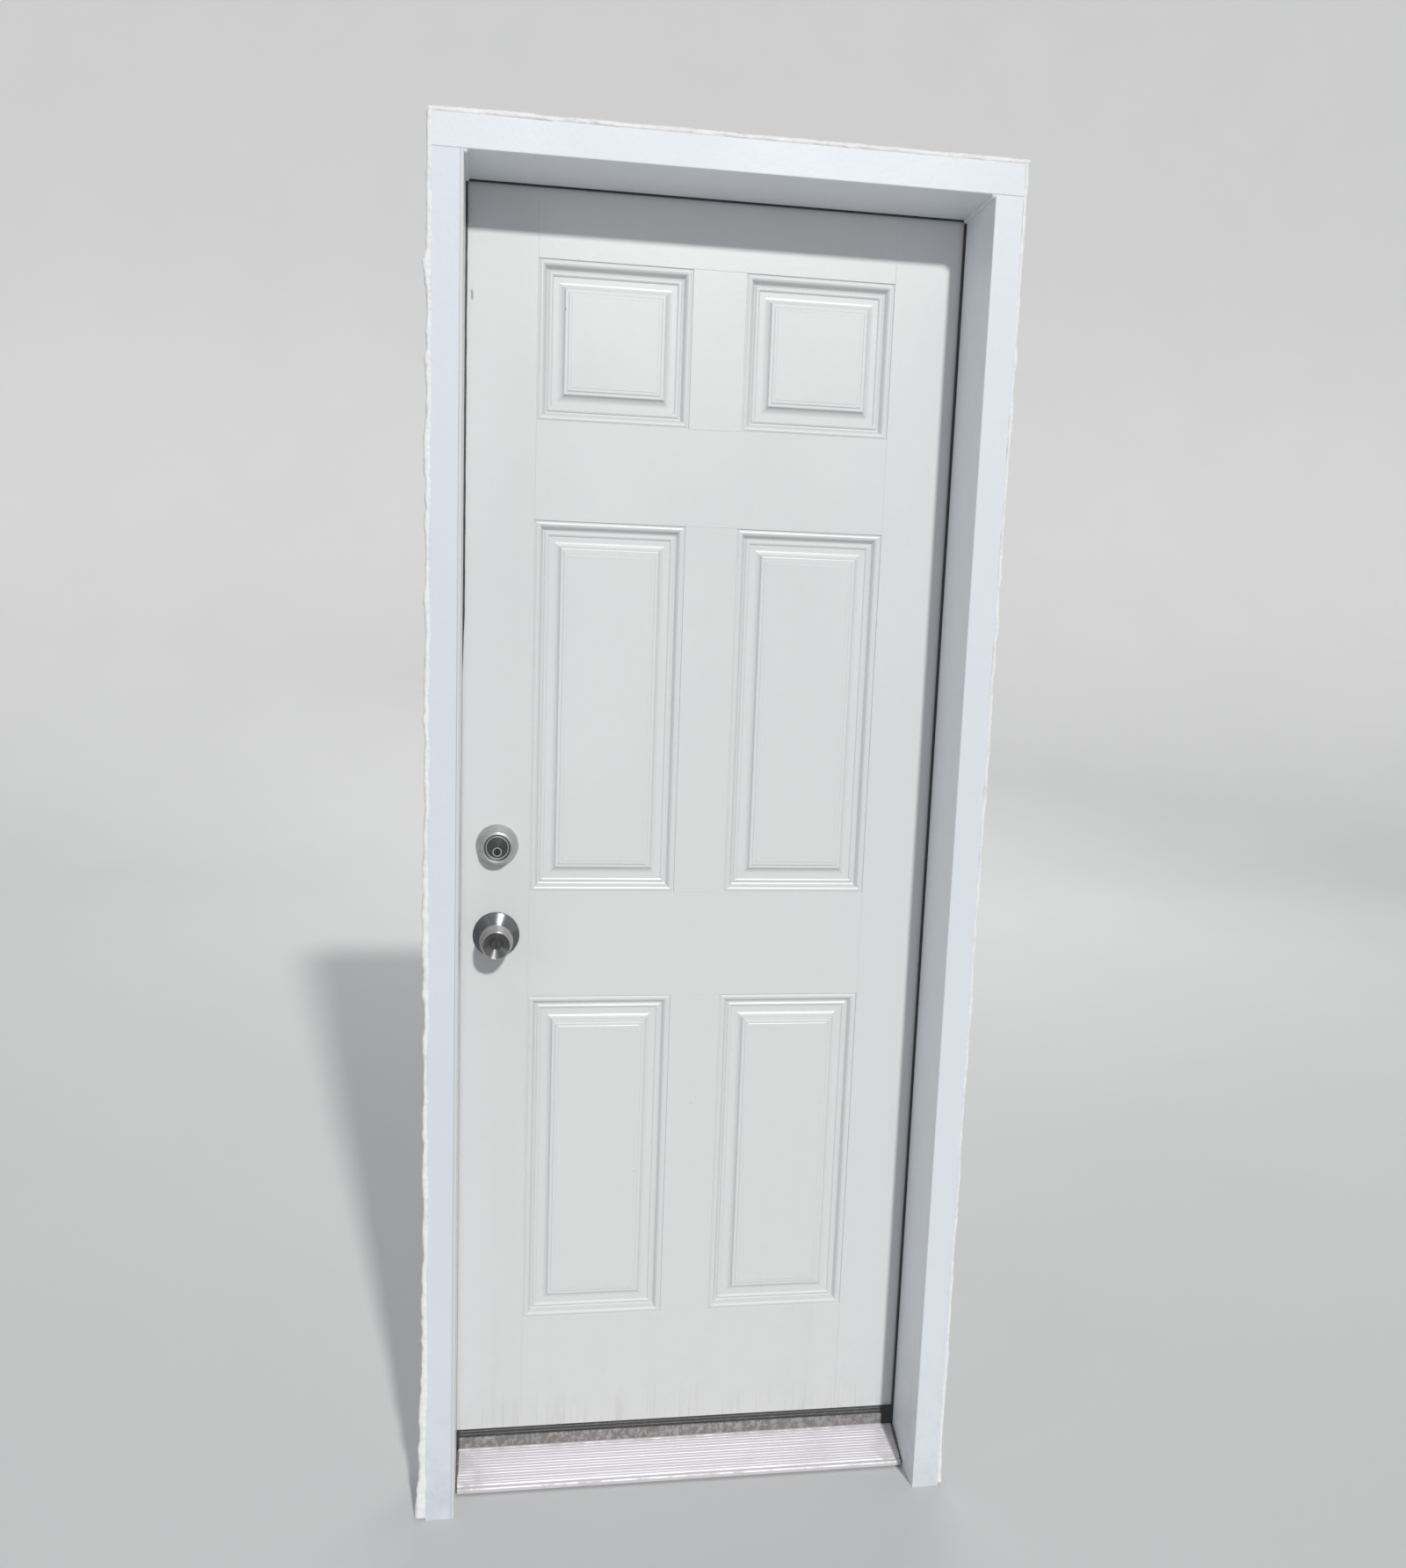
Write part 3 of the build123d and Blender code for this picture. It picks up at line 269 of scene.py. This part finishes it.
def caulk_paint():
    p = Paint("caulk")
    dirt = p.ramp(p.noise(60.0, 7.0, 0.7), 0.45, 0.75)
    tint = p.blend(p.math("MULTIPLY", dirt, 0.30), (0.76, 0.765, 0.775), (0.36, 0.35, 0.33))
    pits = p.ramp(p.cells(160.0), 0.0, 0.12, 1.0, 0.0)
    pits = p.math("MULTIPLY", pits, p.ramp(p.noise(25.0, 2.0), 0.5, 0.6))
    tint = p.blend(p.math("MULTIPLY", pits, 0.6), tint, (0.20, 0.21, 0.19))
    p.set("Base Color", tint)
    p.set("Roughness", p.ramp(p.noise(40.0, 3.0), 0.3, 0.7, 0.45, 0.65))
    p.set("Normal", p.bump(p.noise(260.0, 5.0, 0.6), 0.0006))
    return p.mat


# Flutes lie between a flat strip at the deck's rear and a groove behind its nose
FLUTES = 13
FLUTE_REST = 0.0015
GROOVE_BACK = 0.0055


def aluminium():
    """Mill aluminium threshold: drawn along its length, with painted shade in the flutes, dirty at its rear
    and ends.
    """
    p = Paint("deck_aluminium")
    drawn = p.noise(1.0, 3.0, 0.5, p.stretch((1.5, 500.0, 500.0)))
    tint = p.blend(p.ramp(drawn, 0.3, 0.7), (0.65, 0.635, 0.665), (0.62, 0.605, 0.635))
    y = p.part(p.place, "Y")
    x = p.part(p.place, "X")
    nose = deck_low.y
    rest = deck_high.y - FLUTE_REST
    pitch = (rest - nose - GROOVE_BACK) / (FLUTES + 0.5)
    turn = p.math("FRACT", p.math("DIVIDE", p.math("SUBTRACT", y, rest), pitch))
    off = p.math("ABSOLUTE", p.math("SUBTRACT", turn, 0.5))
    before_rest = p.ramp(y, rest - 0.0004, rest - 0.0001, 1.0, 0.0)
    on_top = p.math("MULTIPLY", p.ramp(y, nose + 0.0035, nose + 0.0038), before_rest)
    # Painted shade in the flutes
    flute_shade = p.math("MULTIPLY", p.ramp(off, 0.07, 0.20, 1.0, 0.0), on_top)
    uneven = p.noise(6.0, 4.0, 0.6, p.stretch((1.0, 3.0, 3.0)))
    flute_shade = p.math("MULTIPLY", flute_shade, p.ramp(uneven, 0.25, 0.6, 0.75, 1.0))
    tint = p.blend(p.math("MULTIPLY", flute_shade, 0.20), tint, (0.27, 0.26, 0.275))
    patches = p.noise(7.0, 7.0, 0.7, p.stretch((1.0, 1.6, 1.0)))
    film = p.math("MULTIPLY", p.ramp(patches, 0.50, 0.76), 0.35)
    rear = p.ramp(y, deck_high.y - 0.012, deck_high.y - 0.0005)
    rear = p.math("MULTIPLY", rear, p.ramp(p.noise(45.0, 6.0, 0.7), 0.35, 0.6))
    lip = p.ramp(y, nose + 0.0028, nose + 0.0001)
    lip = p.math("MULTIPLY", lip, p.ramp(p.noise(30.0, 6.0, 0.7), 0.48, 0.66))
    ends = p.ramp(p.math("ABSOLUTE", x), deck_high.x - 0.0653, deck_high.x - 0.0033)
    ends = p.math("MULTIPLY", ends, p.ramp(p.noise(40.0, 6.0, 0.7), 0.38, 0.6))
    dirt = p.most([film, rear, lip, ends])
    tint = p.blend(p.math("MULTIPLY", dirt, 0.42), tint, (0.36, 0.33, 0.31))
    crumbs = p.ramp(p.cells(150.0, p.stretch((0.45, 1.0, 1.0))), 0.0, 0.085, 1.0, 0.0)
    crumbs = p.math("MULTIPLY", crumbs, p.ramp(p.noise(7.0, 3.0), 0.50, 0.60))
    tint = p.blend(p.math("MULTIPLY", crumbs, 0.9), tint, (0.07, 0.05, 0.04))
    p.set("Base Color", tint)
    dull = p.most([dirt, crumbs, p.math("MULTIPLY", flute_shade, 0.8)])
    p.set("Metallic", p.math("SUBTRACT", 0.38, p.math("MULTIPLY", dull, 0.33)))
    p.set("Roughness", p.math("ADD", p.ramp(drawn, 0.3, 0.7, 0.46, 0.56), p.math("MULTIPLY", dirt, 0.25)))
    height = p.math("ADD", drawn, p.math("MULTIPLY", dirt, p.noise(500.0, 4.0, 0.7)))
    p.set("Normal", p.bump(height, 0.00004))
    return p.mat


def grubby(name, clean, dirty, rough, share, scale, grain):
    """Sill material under grit: clean colour showing between caked dirt."""
    p = Paint(name)
    cake = p.ramp(p.noise(scale, 8.0, 0.72), 0.62 - share * 0.4, 0.80 - share * 0.4)
    tint = p.blend(p.ramp(p.noise(5.0, 3.0), 0.3, 0.7), clean, tuple(c * 0.85 for c in clean))
    tint = p.blend(cake, tint, dirty)
    grains = p.math("MULTIPLY", p.ramp(p.cells(260.0), 0.0, 0.16, 1.0, 0.0), cake)
    tint = p.blend(p.math("MULTIPLY", grains, 0.7), tint, tuple(c * 0.4 for c in dirty))
    p.set("Base Color", tint)
    p.set("Roughness", p.math("ADD", rough, p.math("MULTIPLY", cake, 0.25)))
    height = p.math("ADD", p.math("MULTIPLY", cake, 0.8), p.noise(grain, 5.0, 0.65))
    p.set("Normal", p.bump(height, 0.0005))
    return p.mat


def timber():
    p = Paint("bare_timber")
    rings = p.noise(1.0, 6.0, 0.6, p.stretch((130.0, 130.0, 3.0)), distort=0.6)
    tint = p.blend(p.ramp(rings, 0.3, 0.7), (0.56, 0.40, 0.24), (0.70, 0.54, 0.35))
    p.set("Base Color", tint)
    p.set("Roughness", 0.7)
    p.set("Normal", p.bump(rings, 0.0003))
    return p.mat


def rubber(name, colour, rough, sheen, sheen_heights=()):
    """Black seal: closed-cell skin with a grey bloom of dust, and lighter lines of painted sheen along the
    ribs at the given heights.
    """
    p = Paint(name)
    bloom = p.ramp(p.noise(90.0, 5.0, 0.65), 0.45, 0.8)
    ledge = p.ramp(p.up, 0.2, 0.9)
    dust = p.math("MULTIPLY", p.math("ADD", p.math("MULTIPLY", ledge, 0.5), 0.25), bloom)
    tint = p.blend(dust, colour, (0.16, 0.15, 0.14))
    # Painted sheen: lighter lines along the ribs
    for height in sheen_heights:
        off = p.math("ABSOLUTE", p.math("SUBTRACT", p.part(p.place, "Z"), height))
        rib = p.math("MULTIPLY", p.ramp(off, 0.0004, 0.0008, 1.0, 0.0), p.ramp(bloom, 0.0, 1.0, 0.6, 1.0))
        tint = p.blend(rib, tint, (0.27, 0.265, 0.27))
    p.set("Base Color", tint)
    p.set("Roughness", p.math("ADD", rough, p.math("MULTIPLY", dust, 0.2)))
    p.set("Sheen Weight", sheen)
    p.set("Normal", p.bump(p.noise(700.0, 3.0, 0.6), 0.0002))
    return p.mat


# The soft edge of a painted band, and turning rings per metre on larger pieces and on small faces
BAND_EDGE = 0.0002
RINGS = 3800.0
FINE_RINGS = 5200.0


def turned_metal(name, light, dark, rough, centre_x, centre_z, lines, aniso=0.0, bands=()):
    """Satin metal with fine rings from turning about an axis along Y.

    The bands are rings of painted shade, highlight and dark reflection.
    Each band is (inner radius, outer radius, least distance from the leaf's middle, colour)."""
    p = Paint(name)
    dx = p.math("SUBTRACT", p.part(p.place, "X"), centre_x)
    dz = p.math("SUBTRACT", p.part(p.place, "Z"), centre_z)
    radius = p.math("SQRT", p.math("ADD", p.math("MULTIPLY", dx, dx), p.math("MULTIPLY", dz, dz)))
    along = p.part(p.place, "Y")
    ring = p.tree.nodes.new("ShaderNodeCombineXYZ")
    p.feed(ring.inputs[0], p.math("MULTIPLY", radius, lines))
    p.feed(ring.inputs[1], p.math("MULTIPLY", along, lines))
    p.feed(ring.inputs[2], 0.0)
    brushed = p.noise(1.0, 4.0, 0.6, ring.outputs[0])
    tint = p.blend(p.ramp(brushed, 0.3, 0.7), light, dark)
    smears = p.ramp(p.noise(60.0, 5.0, 0.6), 0.45, 0.75)
    tint = p.blend(p.math("MULTIPLY", smears, 0.22), tint, tuple(c * 0.6 for c in dark))
    reach = p.math("ABSOLUTE", p.math("SUBTRACT", along, leaf_mid))
    for inner, outer, least, colour in bands:
        past_inner = p.ramp(radius, inner - BAND_EDGE, inner)
        within_outer = p.ramp(radius, outer, outer + BAND_EDGE, 1.0, 0.0)
        mask = p.math("MULTIPLY", past_inner, within_outer)
        mask = p.math("MULTIPLY", mask, p.ramp(reach, least, least + BAND_EDGE))
        shade = p.blend(p.ramp(brushed, 0.3, 0.7), colour, tuple(c * 0.8 for c in colour))
        tint = p.blend(mask, tint, shade)
    p.set("Base Color", tint)
    p.set("Metallic", 1.0)
    coat = p.ramp(brushed, 0.3, 0.7, rough - 0.04, rough + 0.05)
    p.set("Roughness", p.math("ADD", coat, p.math("MULTIPLY", smears, 0.08)))
    p.set("Normal", p.bump(brushed, 0.00004))
    if aniso:
        around = p.tree.nodes.new("ShaderNodeTangent")
        around.direction_type = "RADIAL"
        around.axis = "Y"
        p.set("Anisotropic", aniso)
        p.set("Anisotropic Rotation", 0.25)
        p.set("Tangent", around.outputs[0])
    return p.mat


def brushed_steel(name, light, dark, rough, stretch):
    p = Paint(name)
    lines = p.noise(1.0, 4.0, 0.6, p.stretch(stretch))
    tint = p.blend(p.ramp(lines, 0.3, 0.7), light, dark)
    spots = p.ramp(p.noise(85.0, 6.0, 0.7), 0.55, 0.75)
    tint = p.blend(p.math("MULTIPLY", spots, 0.12), tint, tuple(c * 0.55 for c in dark))
    p.set("Base Color", tint)
    p.set("Metallic", 1.0)
    p.set("Roughness", p.ramp(lines, 0.3, 0.7, rough - 0.05, rough + 0.08))
    p.set("Normal", p.bump(lines, 0.00005))
    return p.mat


def foam():
    p = Paint("foam_core")
    pores = p.cells(700.0)
    p.set("Base Color", p.blend(p.ramp(pores, 0.1, 0.6), (0.60, 0.53, 0.33), (0.78, 0.72, 0.52)))
    p.set("Roughness", 0.9)
    p.set("Normal", p.bump(pores, 0.0004))
    return p.mat


# Painted shade: a dark ring in the collar's recess round the cylinder
nickel_collar = turned_metal(
    "satin_nickel_collar", (0.55, 0.55, 0.545), (0.45, 0.45, 0.445), 0.40, lock_x, bolt_z, RINGS, aniso=0.6,
    bands=((0.0, cylinder_r + 0.0023, 0.0, (0.22, 0.22, 0.22)),))
# Painted dark reflection: the rose is a darker copy of the knob's satin nickel
nickel_rose = turned_metal(
    "satin_nickel_rose", (0.235, 0.235, 0.24), (0.155, 0.155, 0.16), 0.24, lock_x, knob_z, RINGS, aniso=0.92)
# Painted dark reflection: a dark band over the dish in the knob's front
nickel_knob = turned_metal(
    "satin_nickel_knob", (0.50, 0.495, 0.485), (0.38, 0.375, 0.37), 0.30, lock_x, knob_z, RINGS, aniso=0.9,
    bands=((0.0, knob_r - 0.0055, knob_reach - 0.00926, (0.19, 0.187, 0.182)),))
nickel_plate = turned_metal(
    "satin_nickel_plate", (0.50, 0.495, 0.485), (0.40, 0.395, 0.385), 0.36, lock_x, bolt_z, RINGS, aniso=0.5)
# Painted highlight: a bright ring at the rim of the cylinder's face
lock_face = turned_metal(
    "lock_face", (0.13, 0.13, 0.13), (0.075, 0.075, 0.075), 0.30, lock_x, bolt_z, FINE_RINGS, aniso=0.5,
    bands=((cylinder_r - 0.0019, cylinder_r + 0.0003, 0.0, (0.80, 0.80, 0.79)),))
# Painted highlight: a bright ring at the edge of the key plug
key_face = turned_metal(
    "key_face", (0.10, 0.10, 0.095), (0.06, 0.06, 0.058), 0.28, lock_x, key_z, FINE_RINGS,
    bands=((key_r - 0.0015, key_r - 0.0002, 0.0, (0.60, 0.59, 0.575)),))
knob_key_face = turned_metal(
    "knob_key_face", (0.16, 0.155, 0.15), (0.08, 0.078, 0.075), 0.28, lock_x, knob_z, FINE_RINGS)
hinge_steel = brushed_steel(
    "hinge_steel", (0.62, 0.615, 0.60), (0.46, 0.455, 0.44), 0.33, (600.0, 600.0, 8.0))
case_steel = brushed_steel(
    "case_steel", (0.60, 0.60, 0.61), (0.45, 0.45, 0.46), 0.38, (700.0, 700.0, 9.0))

give(door_paint, "door_skin_outer", "door_skin_inner")
give(casing_paint, "casing_right", "casing_head")
give(left_casing_shaded, "casing_left")
give(frame_paint, "jamb_left", "jamb_right", "jamb_head")
give(aluminium(), "threshold_deck")
cap_vinyl = grubby(
    "cap_vinyl", (0.34, 0.33, 0.325), (0.18, 0.172, 0.165), rough=0.5, share=0.55, scale=95.0, grain=420.0)
core_composite = grubby(
    "core_composite", (0.22, 0.20, 0.175), (0.12, 0.10, 0.085), rough=0.65, share=0.7, scale=55.0,
    grain=260.0)
sill_board = grubby(
    "sill_board", (0.30, 0.29, 0.28), (0.20, 0.18, 0.16), rough=0.6, share=0.45, scale=18.0, grain=200.0)
give(cap_vinyl, "threshold_cap")
give(core_composite, "sill_core")
give(sill_board, "sub_sill")
seal_black = rubber("seal_black", (0.018, 0.018, 0.020), 0.55, 0.15)
give(seal_black, "weatherstrip_left", "weatherstrip_right", "weatherstrip_head",
     "corner_pad_left", "corner_pad_right")
sweep_ribs = [sweep_top - 0.0042, sweep_top - 0.0096]
give(rubber("sweep_black", (0.040, 0.040, 0.043), 0.36, 0.1, sweep_ribs), "door_sweep")
give(timber(), "stile_lock", "stile_hinge", "rail_top", "rail_bottom", "lock_block")
give(foam(), "door_core")
give(hinge_steel, *[n for n in nodes if n.startswith("hinge_")])
give(case_steel, "latch_strike", "deadbolt_strike", "strike_screws", "face_plate_latch", "face_plate_bolt",
     "face_plate_screws", "latch_case", "deadbolt_case", "deadbolt_bolt", "latch_bolt", "knob_chassis",
     "deadbolt_screws")
give(nickel_collar, "deadbolt_collar")
give(nickel_plate, "deadbolt_plate", "deadbolt_turn")
give(lock_face, "deadbolt_cylinder")
give(key_face, "deadbolt_key")
give(nickel_rose, "knob_rose_outer", "knob_rose_inner")
give(nickel_knob, "knob_outer", "knob_inner", "knob_button")
give(knob_key_face, "knob_key")


# Beads: filler where the casing met the wall and in the inner head corners, a black bead down the lock side,
# and grit
X_AXIS = Vector((1, 0, 0))
Z_AXIS = Vector((0, 0, 1))
AROUND = 14
SQUARISH = 0.7
GROUND_GAP = 0.004
FOOT_TALL = 0.13
TUCK = 0.0045
CORNER_IN = 0.0012
BLACK_EDGE_FOOT = 1.285
BLACK_EDGE_GROW = 0.10


def bead(name, mat, points, size, across, seed, lumps=0.10):
    """Closed ragged bead. points hold its line, size its half width along across and half height at each."""
    mesh = bpy.data.meshes.new(name)
    bm = bmesh.new()
    rings = []
    for i, (p, (w, h)) in enumerate(zip(points, size)):
        a = Vector(points[max(0, i - 1)])
        b = Vector(points[min(len(points) - 1, i + 1)])
        rise = (b - a).normalized().cross(across).normalized()
        ring = []
        for k in range(AROUND):
            t = 2 * math.pi * k / AROUND
            round_on = Vector((math.cos(t), 0.0, math.sin(t)))
            swell = Vector(p) * 40 + round_on + Vector((seed, 0, seed))
            lump = Vector(p) * 190 + round_on * 1.6 + Vector((seed, seed, 0))
            wobble = 1.0 + 0.16 * noise.noise(swell) + lumps * noise.fractal(lump, 1.0, 2.0, 3)
            side = math.copysign(abs(math.cos(t)) ** SQUARISH, math.cos(t))
            face = math.copysign(abs(math.sin(t)) ** SQUARISH, math.sin(t))
            offset = across * (side * w * wobble) + rise * (face * h * wobble)
            ring.append(bm.verts.new(Vector(p) + offset))
        rings.append(ring)
    for a, b in zip(rings, rings[1:]):
        for k in range(AROUND):
            n = (k + 1) % AROUND
            bm.faces.new((a[k], a[n], b[n], b[k]))
    bm.faces.new(list(reversed(rings[0])))
    bm.faces.new(rings[-1])
    bmesh.ops.recalc_face_normals(bm, faces=bm.faces)
    bm.to_mesh(mesh)
    bm.free()
    for f in mesh.polygons:
        f.use_smooth = True
    piece = bpy.data.objects.new(name, mesh)
    scene.collection.objects.link(piece)
    mesh.materials.append(mat)
    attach(piece, "frame")


def ragged(t, seed, scale=9.0):
    """Smooth noise round 0 along a bead."""
    return noise.fractal(Vector((t * scale, seed, 0.37 * seed)), 1.0, 2.0, 4)


def spread(low, high, steps):
    """Even places from low to high."""
    return [low + (high - low) * i / steps for i in range(steps + 1)]


caulk = caulk_paint()
grit = grubby(
    "grit", (0.26, 0.235, 0.205), (0.14, 0.115, 0.095), rough=0.8, share=0.7, scale=90.0, grain=500.0)


def side_bead(name, edge, side, seed, swell, foot):
    """Filler down a casing's outer edge, thicker by foot near the ground."""
    points = []
    size = []
    for z in spread(GROUND_GAP, head_top, 1100):
        rough = ragged(z, seed)
        wide = swell * (0.70 + 0.35 * abs(rough)) + foot * math.exp(-z / FOOT_TALL)
        wide += 0.35 * swell * max(0.0, ragged(z, seed + 7, 23.0))
        y = front + 0.0062 + 0.0016 * ragged(z, seed + 3, 5.0)
        points.append((edge + side * (wide - TUCK), y, z))
        size.append((wide, 0.0068 + 0.0008 * rough))
    bead(name, caulk, points, size, X_AXIS, seed)


def head_bead(seed):
    """Filler along the top of the head casing."""
    points = []
    size = []
    for x in spread(edge_l - 0.003, edge_r + 0.003, 500):
        rough = ragged(x, seed)
        y = front + 0.008 + 0.0006 * ragged(x, 4.4, 5.0)
        points.append((x, y, head_top + 0.0024 + 0.0004 * rough))
        size.append((0.0046 + 0.0012 * abs(rough), 0.0083))
    bead("caulk_head", caulk, points, size, Z_AXIS, seed)


def corner_bead(side, name, swell):
    """Filler in the inner corner under the head, from the casing back to the leaf."""
    points = []
    size = []
    for y in spread(front + 0.001, leaf_front - 0.0065, 40):
        wide = swell * (0.9 + 0.35 * ragged(y, 12.0 + side, 30.0))
        points.append((side * (stop_x - CORNER_IN), y, head_low - CORNER_IN))
        size.append((wide, wide * 0.9))
    bead("caulk_corner_" + name, caulk, points, size, X_AXIS, 3.0 + side)


def black_edge_bead(low):
    """Black bead along the stop over the upper part of the lock side, growing from its low end."""
    points = []
    size = []
    for z in spread(low, head_low - 0.001, 180):
        grow = min(1.0, (z - low + 0.005) / BLACK_EDGE_GROW)
        points.append((-stop_x, leaf_front - 0.0024, z))
        size.append((0.0029 * grow + 0.0002 * ragged(z, 31.0, 14.0), 0.0021))
    bead("black_edge_bead", seal_black, points, size, X_AXIS, 6.0, 0.02)


def grit_bead(side, name):
    """Grit along the threshold's end, where it meets the jamb."""
    points = []
    size = []
    for t in spread(0.0, 1.0, 60):
        y = deck_low.y + 0.006 + (deck_high.y - deck_low.y - 0.010) * t
        z = deck_low.z + 0.0035 + (deck_high.z - deck_low.z - 0.0065) * t
        points.append((side * (stop_x - 0.0022), y, z))
        size.append((0.0024, 0.0042 + 0.0022 * ragged(y, 21.0 + side, 45.0)))
    bead("grit_" + name, grit, points, size, X_AXIS, 8.0 + side)


side_bead("caulk_right", edge_r, 1, seed=2.7, swell=0.0046, foot=0.001)
side_bead("caulk_left", edge_l, -1, seed=5.1, swell=0.0062, foot=0.0060)
head_bead(seed=9.4)
corner_bead(-1, "left", swell=0.0042)
corner_bead(1, "right", swell=0.0052)
black_edge_bead(BLACK_EDGE_FOOT)
grit_bead(-1, "left")
grit_bead(1, "right")


# Floor and backdrop
def stage_paint(colour):
    p = Paint("stage_floor")
    broad = p.ramp(p.noise(1.4, 3.0), 0.3, 0.7)
    p.set("Base Color", p.blend(broad, colour, tuple(c * 0.985 for c in colour)))
    p.set("Roughness", 0.85)
    return p.mat


def build_stage(half_wide, near, bend_y, bend_r, top):
    """Floor that bends up into a backdrop behind the door."""
    mesh = bpy.data.meshes.new("floor")
    bm = bmesh.new()
    turns = [math.pi / 2 * k / 32 for k in range(33)]
    path = [(near, 0.0)]
    path += [(bend_y + bend_r * math.sin(t), bend_r - bend_r * math.cos(t)) for t in turns]
    path += [(bend_y + bend_r, top)]
    left = [bm.verts.new((-half_wide, y, z)) for y, z in path]
    right = [bm.verts.new((half_wide, y, z)) for y, z in path]
    for a, b, c, d in zip(left, left[1:], right[1:], right):
        bm.faces.new((a, d, c, b))
    bmesh.ops.recalc_face_normals(bm, faces=bm.faces)
    bm.to_mesh(mesh)
    bm.free()
    for f in mesh.polygons:
        f.use_smooth = True
    floor = bpy.data.objects.new("floor", mesh)
    scene.collection.objects.link(floor)
    mesh.materials.append(stage_paint((0.60, 0.605, 0.61)))


build_stage(half_wide=22.0, near=-16.0, bend_y=5.0, bend_r=5.0, top=16.0)


# Light and camera
def area_light(name, at, aim, size, power, colour):
    data = bpy.data.lights.new(name, "AREA")
    data.shape = "RECTANGLE"
    data.size = size[0]
    data.size_y = size[1]
    data.energy = power
    data.color = colour
    lamp = bpy.data.objects.new(name, data)
    scene.collection.objects.link(lamp)
    lamp.location = at
    lamp.rotation_euler = (Vector(aim) - Vector(at)).to_track_quat("-Z", "Y").to_euler()


sun = bpy.data.objects.new("sun", bpy.data.lights.new("sun", "SUN"))
scene.collection.objects.link(sun)
sun.data.energy = 2.45
sun.data.angle = math.radians(3.5)
sun.data.color = (1.0, 0.98, 0.945)
sun_way = Vector((-0.20, 1.0, -0.60))
sun.rotation_euler = sun_way.to_track_quat("-Z", "Y").to_euler()
area_light(
    "side", at=(-4.4, -3.6, 2.4), aim=(-0.2, 0.0, 1.1), size=(2.4, 2.4), power=32.0,
    colour=(0.95, 0.975, 1.0))
area_light(
    "back", at=(1.6, 5.4, 4.2), aim=(0.0, 0.0, 1.0), size=(5.0, 4.0), power=125.0,
    colour=(1.0, 0.99, 0.97))


def studio_world(colour, on_object, seen_strength):
    """Soft light on the object, and a pale surround for camera, transmission and glossy rays."""
    world = bpy.data.worlds.new("studio")
    scene.world = world
    world.use_nodes = True
    tree = world.node_tree
    ray = tree.nodes.new("ShaderNodeLightPath")
    seen = ray.outputs["Is Camera Ray"]
    for kind in ("Is Transmission Ray", "Is Glossy Ray"):
        either = tree.nodes.new("ShaderNodeMath")
        either.operation = "MAXIMUM"
        tree.links.new(seen, either.inputs[0])
        tree.links.new(ray.outputs[kind], either.inputs[1])
        seen = either.outputs[0]
    level = tree.nodes.new("ShaderNodeMapRange")
    level.inputs["To Min"].default_value = on_object
    level.inputs["To Max"].default_value = seen_strength
    tree.links.new(seen, level.inputs["Value"])
    back = next(n for n in tree.nodes if n.type == "BACKGROUND")
    tree.links.new(level.outputs["Result"], back.inputs["Strength"])
    back.inputs["Color"].default_value = tuple(colour) + (1.0,)


studio_world((0.885, 0.935, 1.0), on_object=0.26, seen_strength=0.85)

# Camera solved from the photograph: its size and its optical centre and focal length in pixels
PHOTO_WIDE = 1600.0
PHOTO_TALL = 1784.0
CENTRE_U = 750.0
CENTRE_V = 927.7
FOCAL = 1361.32
SENSOR = 36.0
camera_data = bpy.data.cameras.new("camera")
camera = bpy.data.objects.new("camera", camera_data)
scene.collection.objects.link(camera)
scene.camera = camera
camera_data.sensor_fit = "AUTO"
camera_data.sensor_width = SENSOR
camera_data.lens = SENSOR * FOCAL / PHOTO_TALL
camera_data.shift_x = (PHOTO_WIDE / 2 - CENTRE_U) / PHOTO_TALL
camera_data.shift_y = (CENTRE_V - PHOTO_TALL / 2) / PHOTO_TALL
camera_data.clip_start = 0.01
right_axis = Vector((0.99034468, -0.13526199, 0.03035801))
up_axis = Vector((-0.01110897, 0.14085083, 0.9899685))
back_axis = Vector((-0.13818106, -0.98074729, 0.13798825))
camera_place = (-0.32193, -1.78033, 1.34054)
turn = Matrix((right_axis, up_axis, back_axis)).transposed()
camera.matrix_world = Matrix.Translation(camera_place) @ turn.to_4x4()
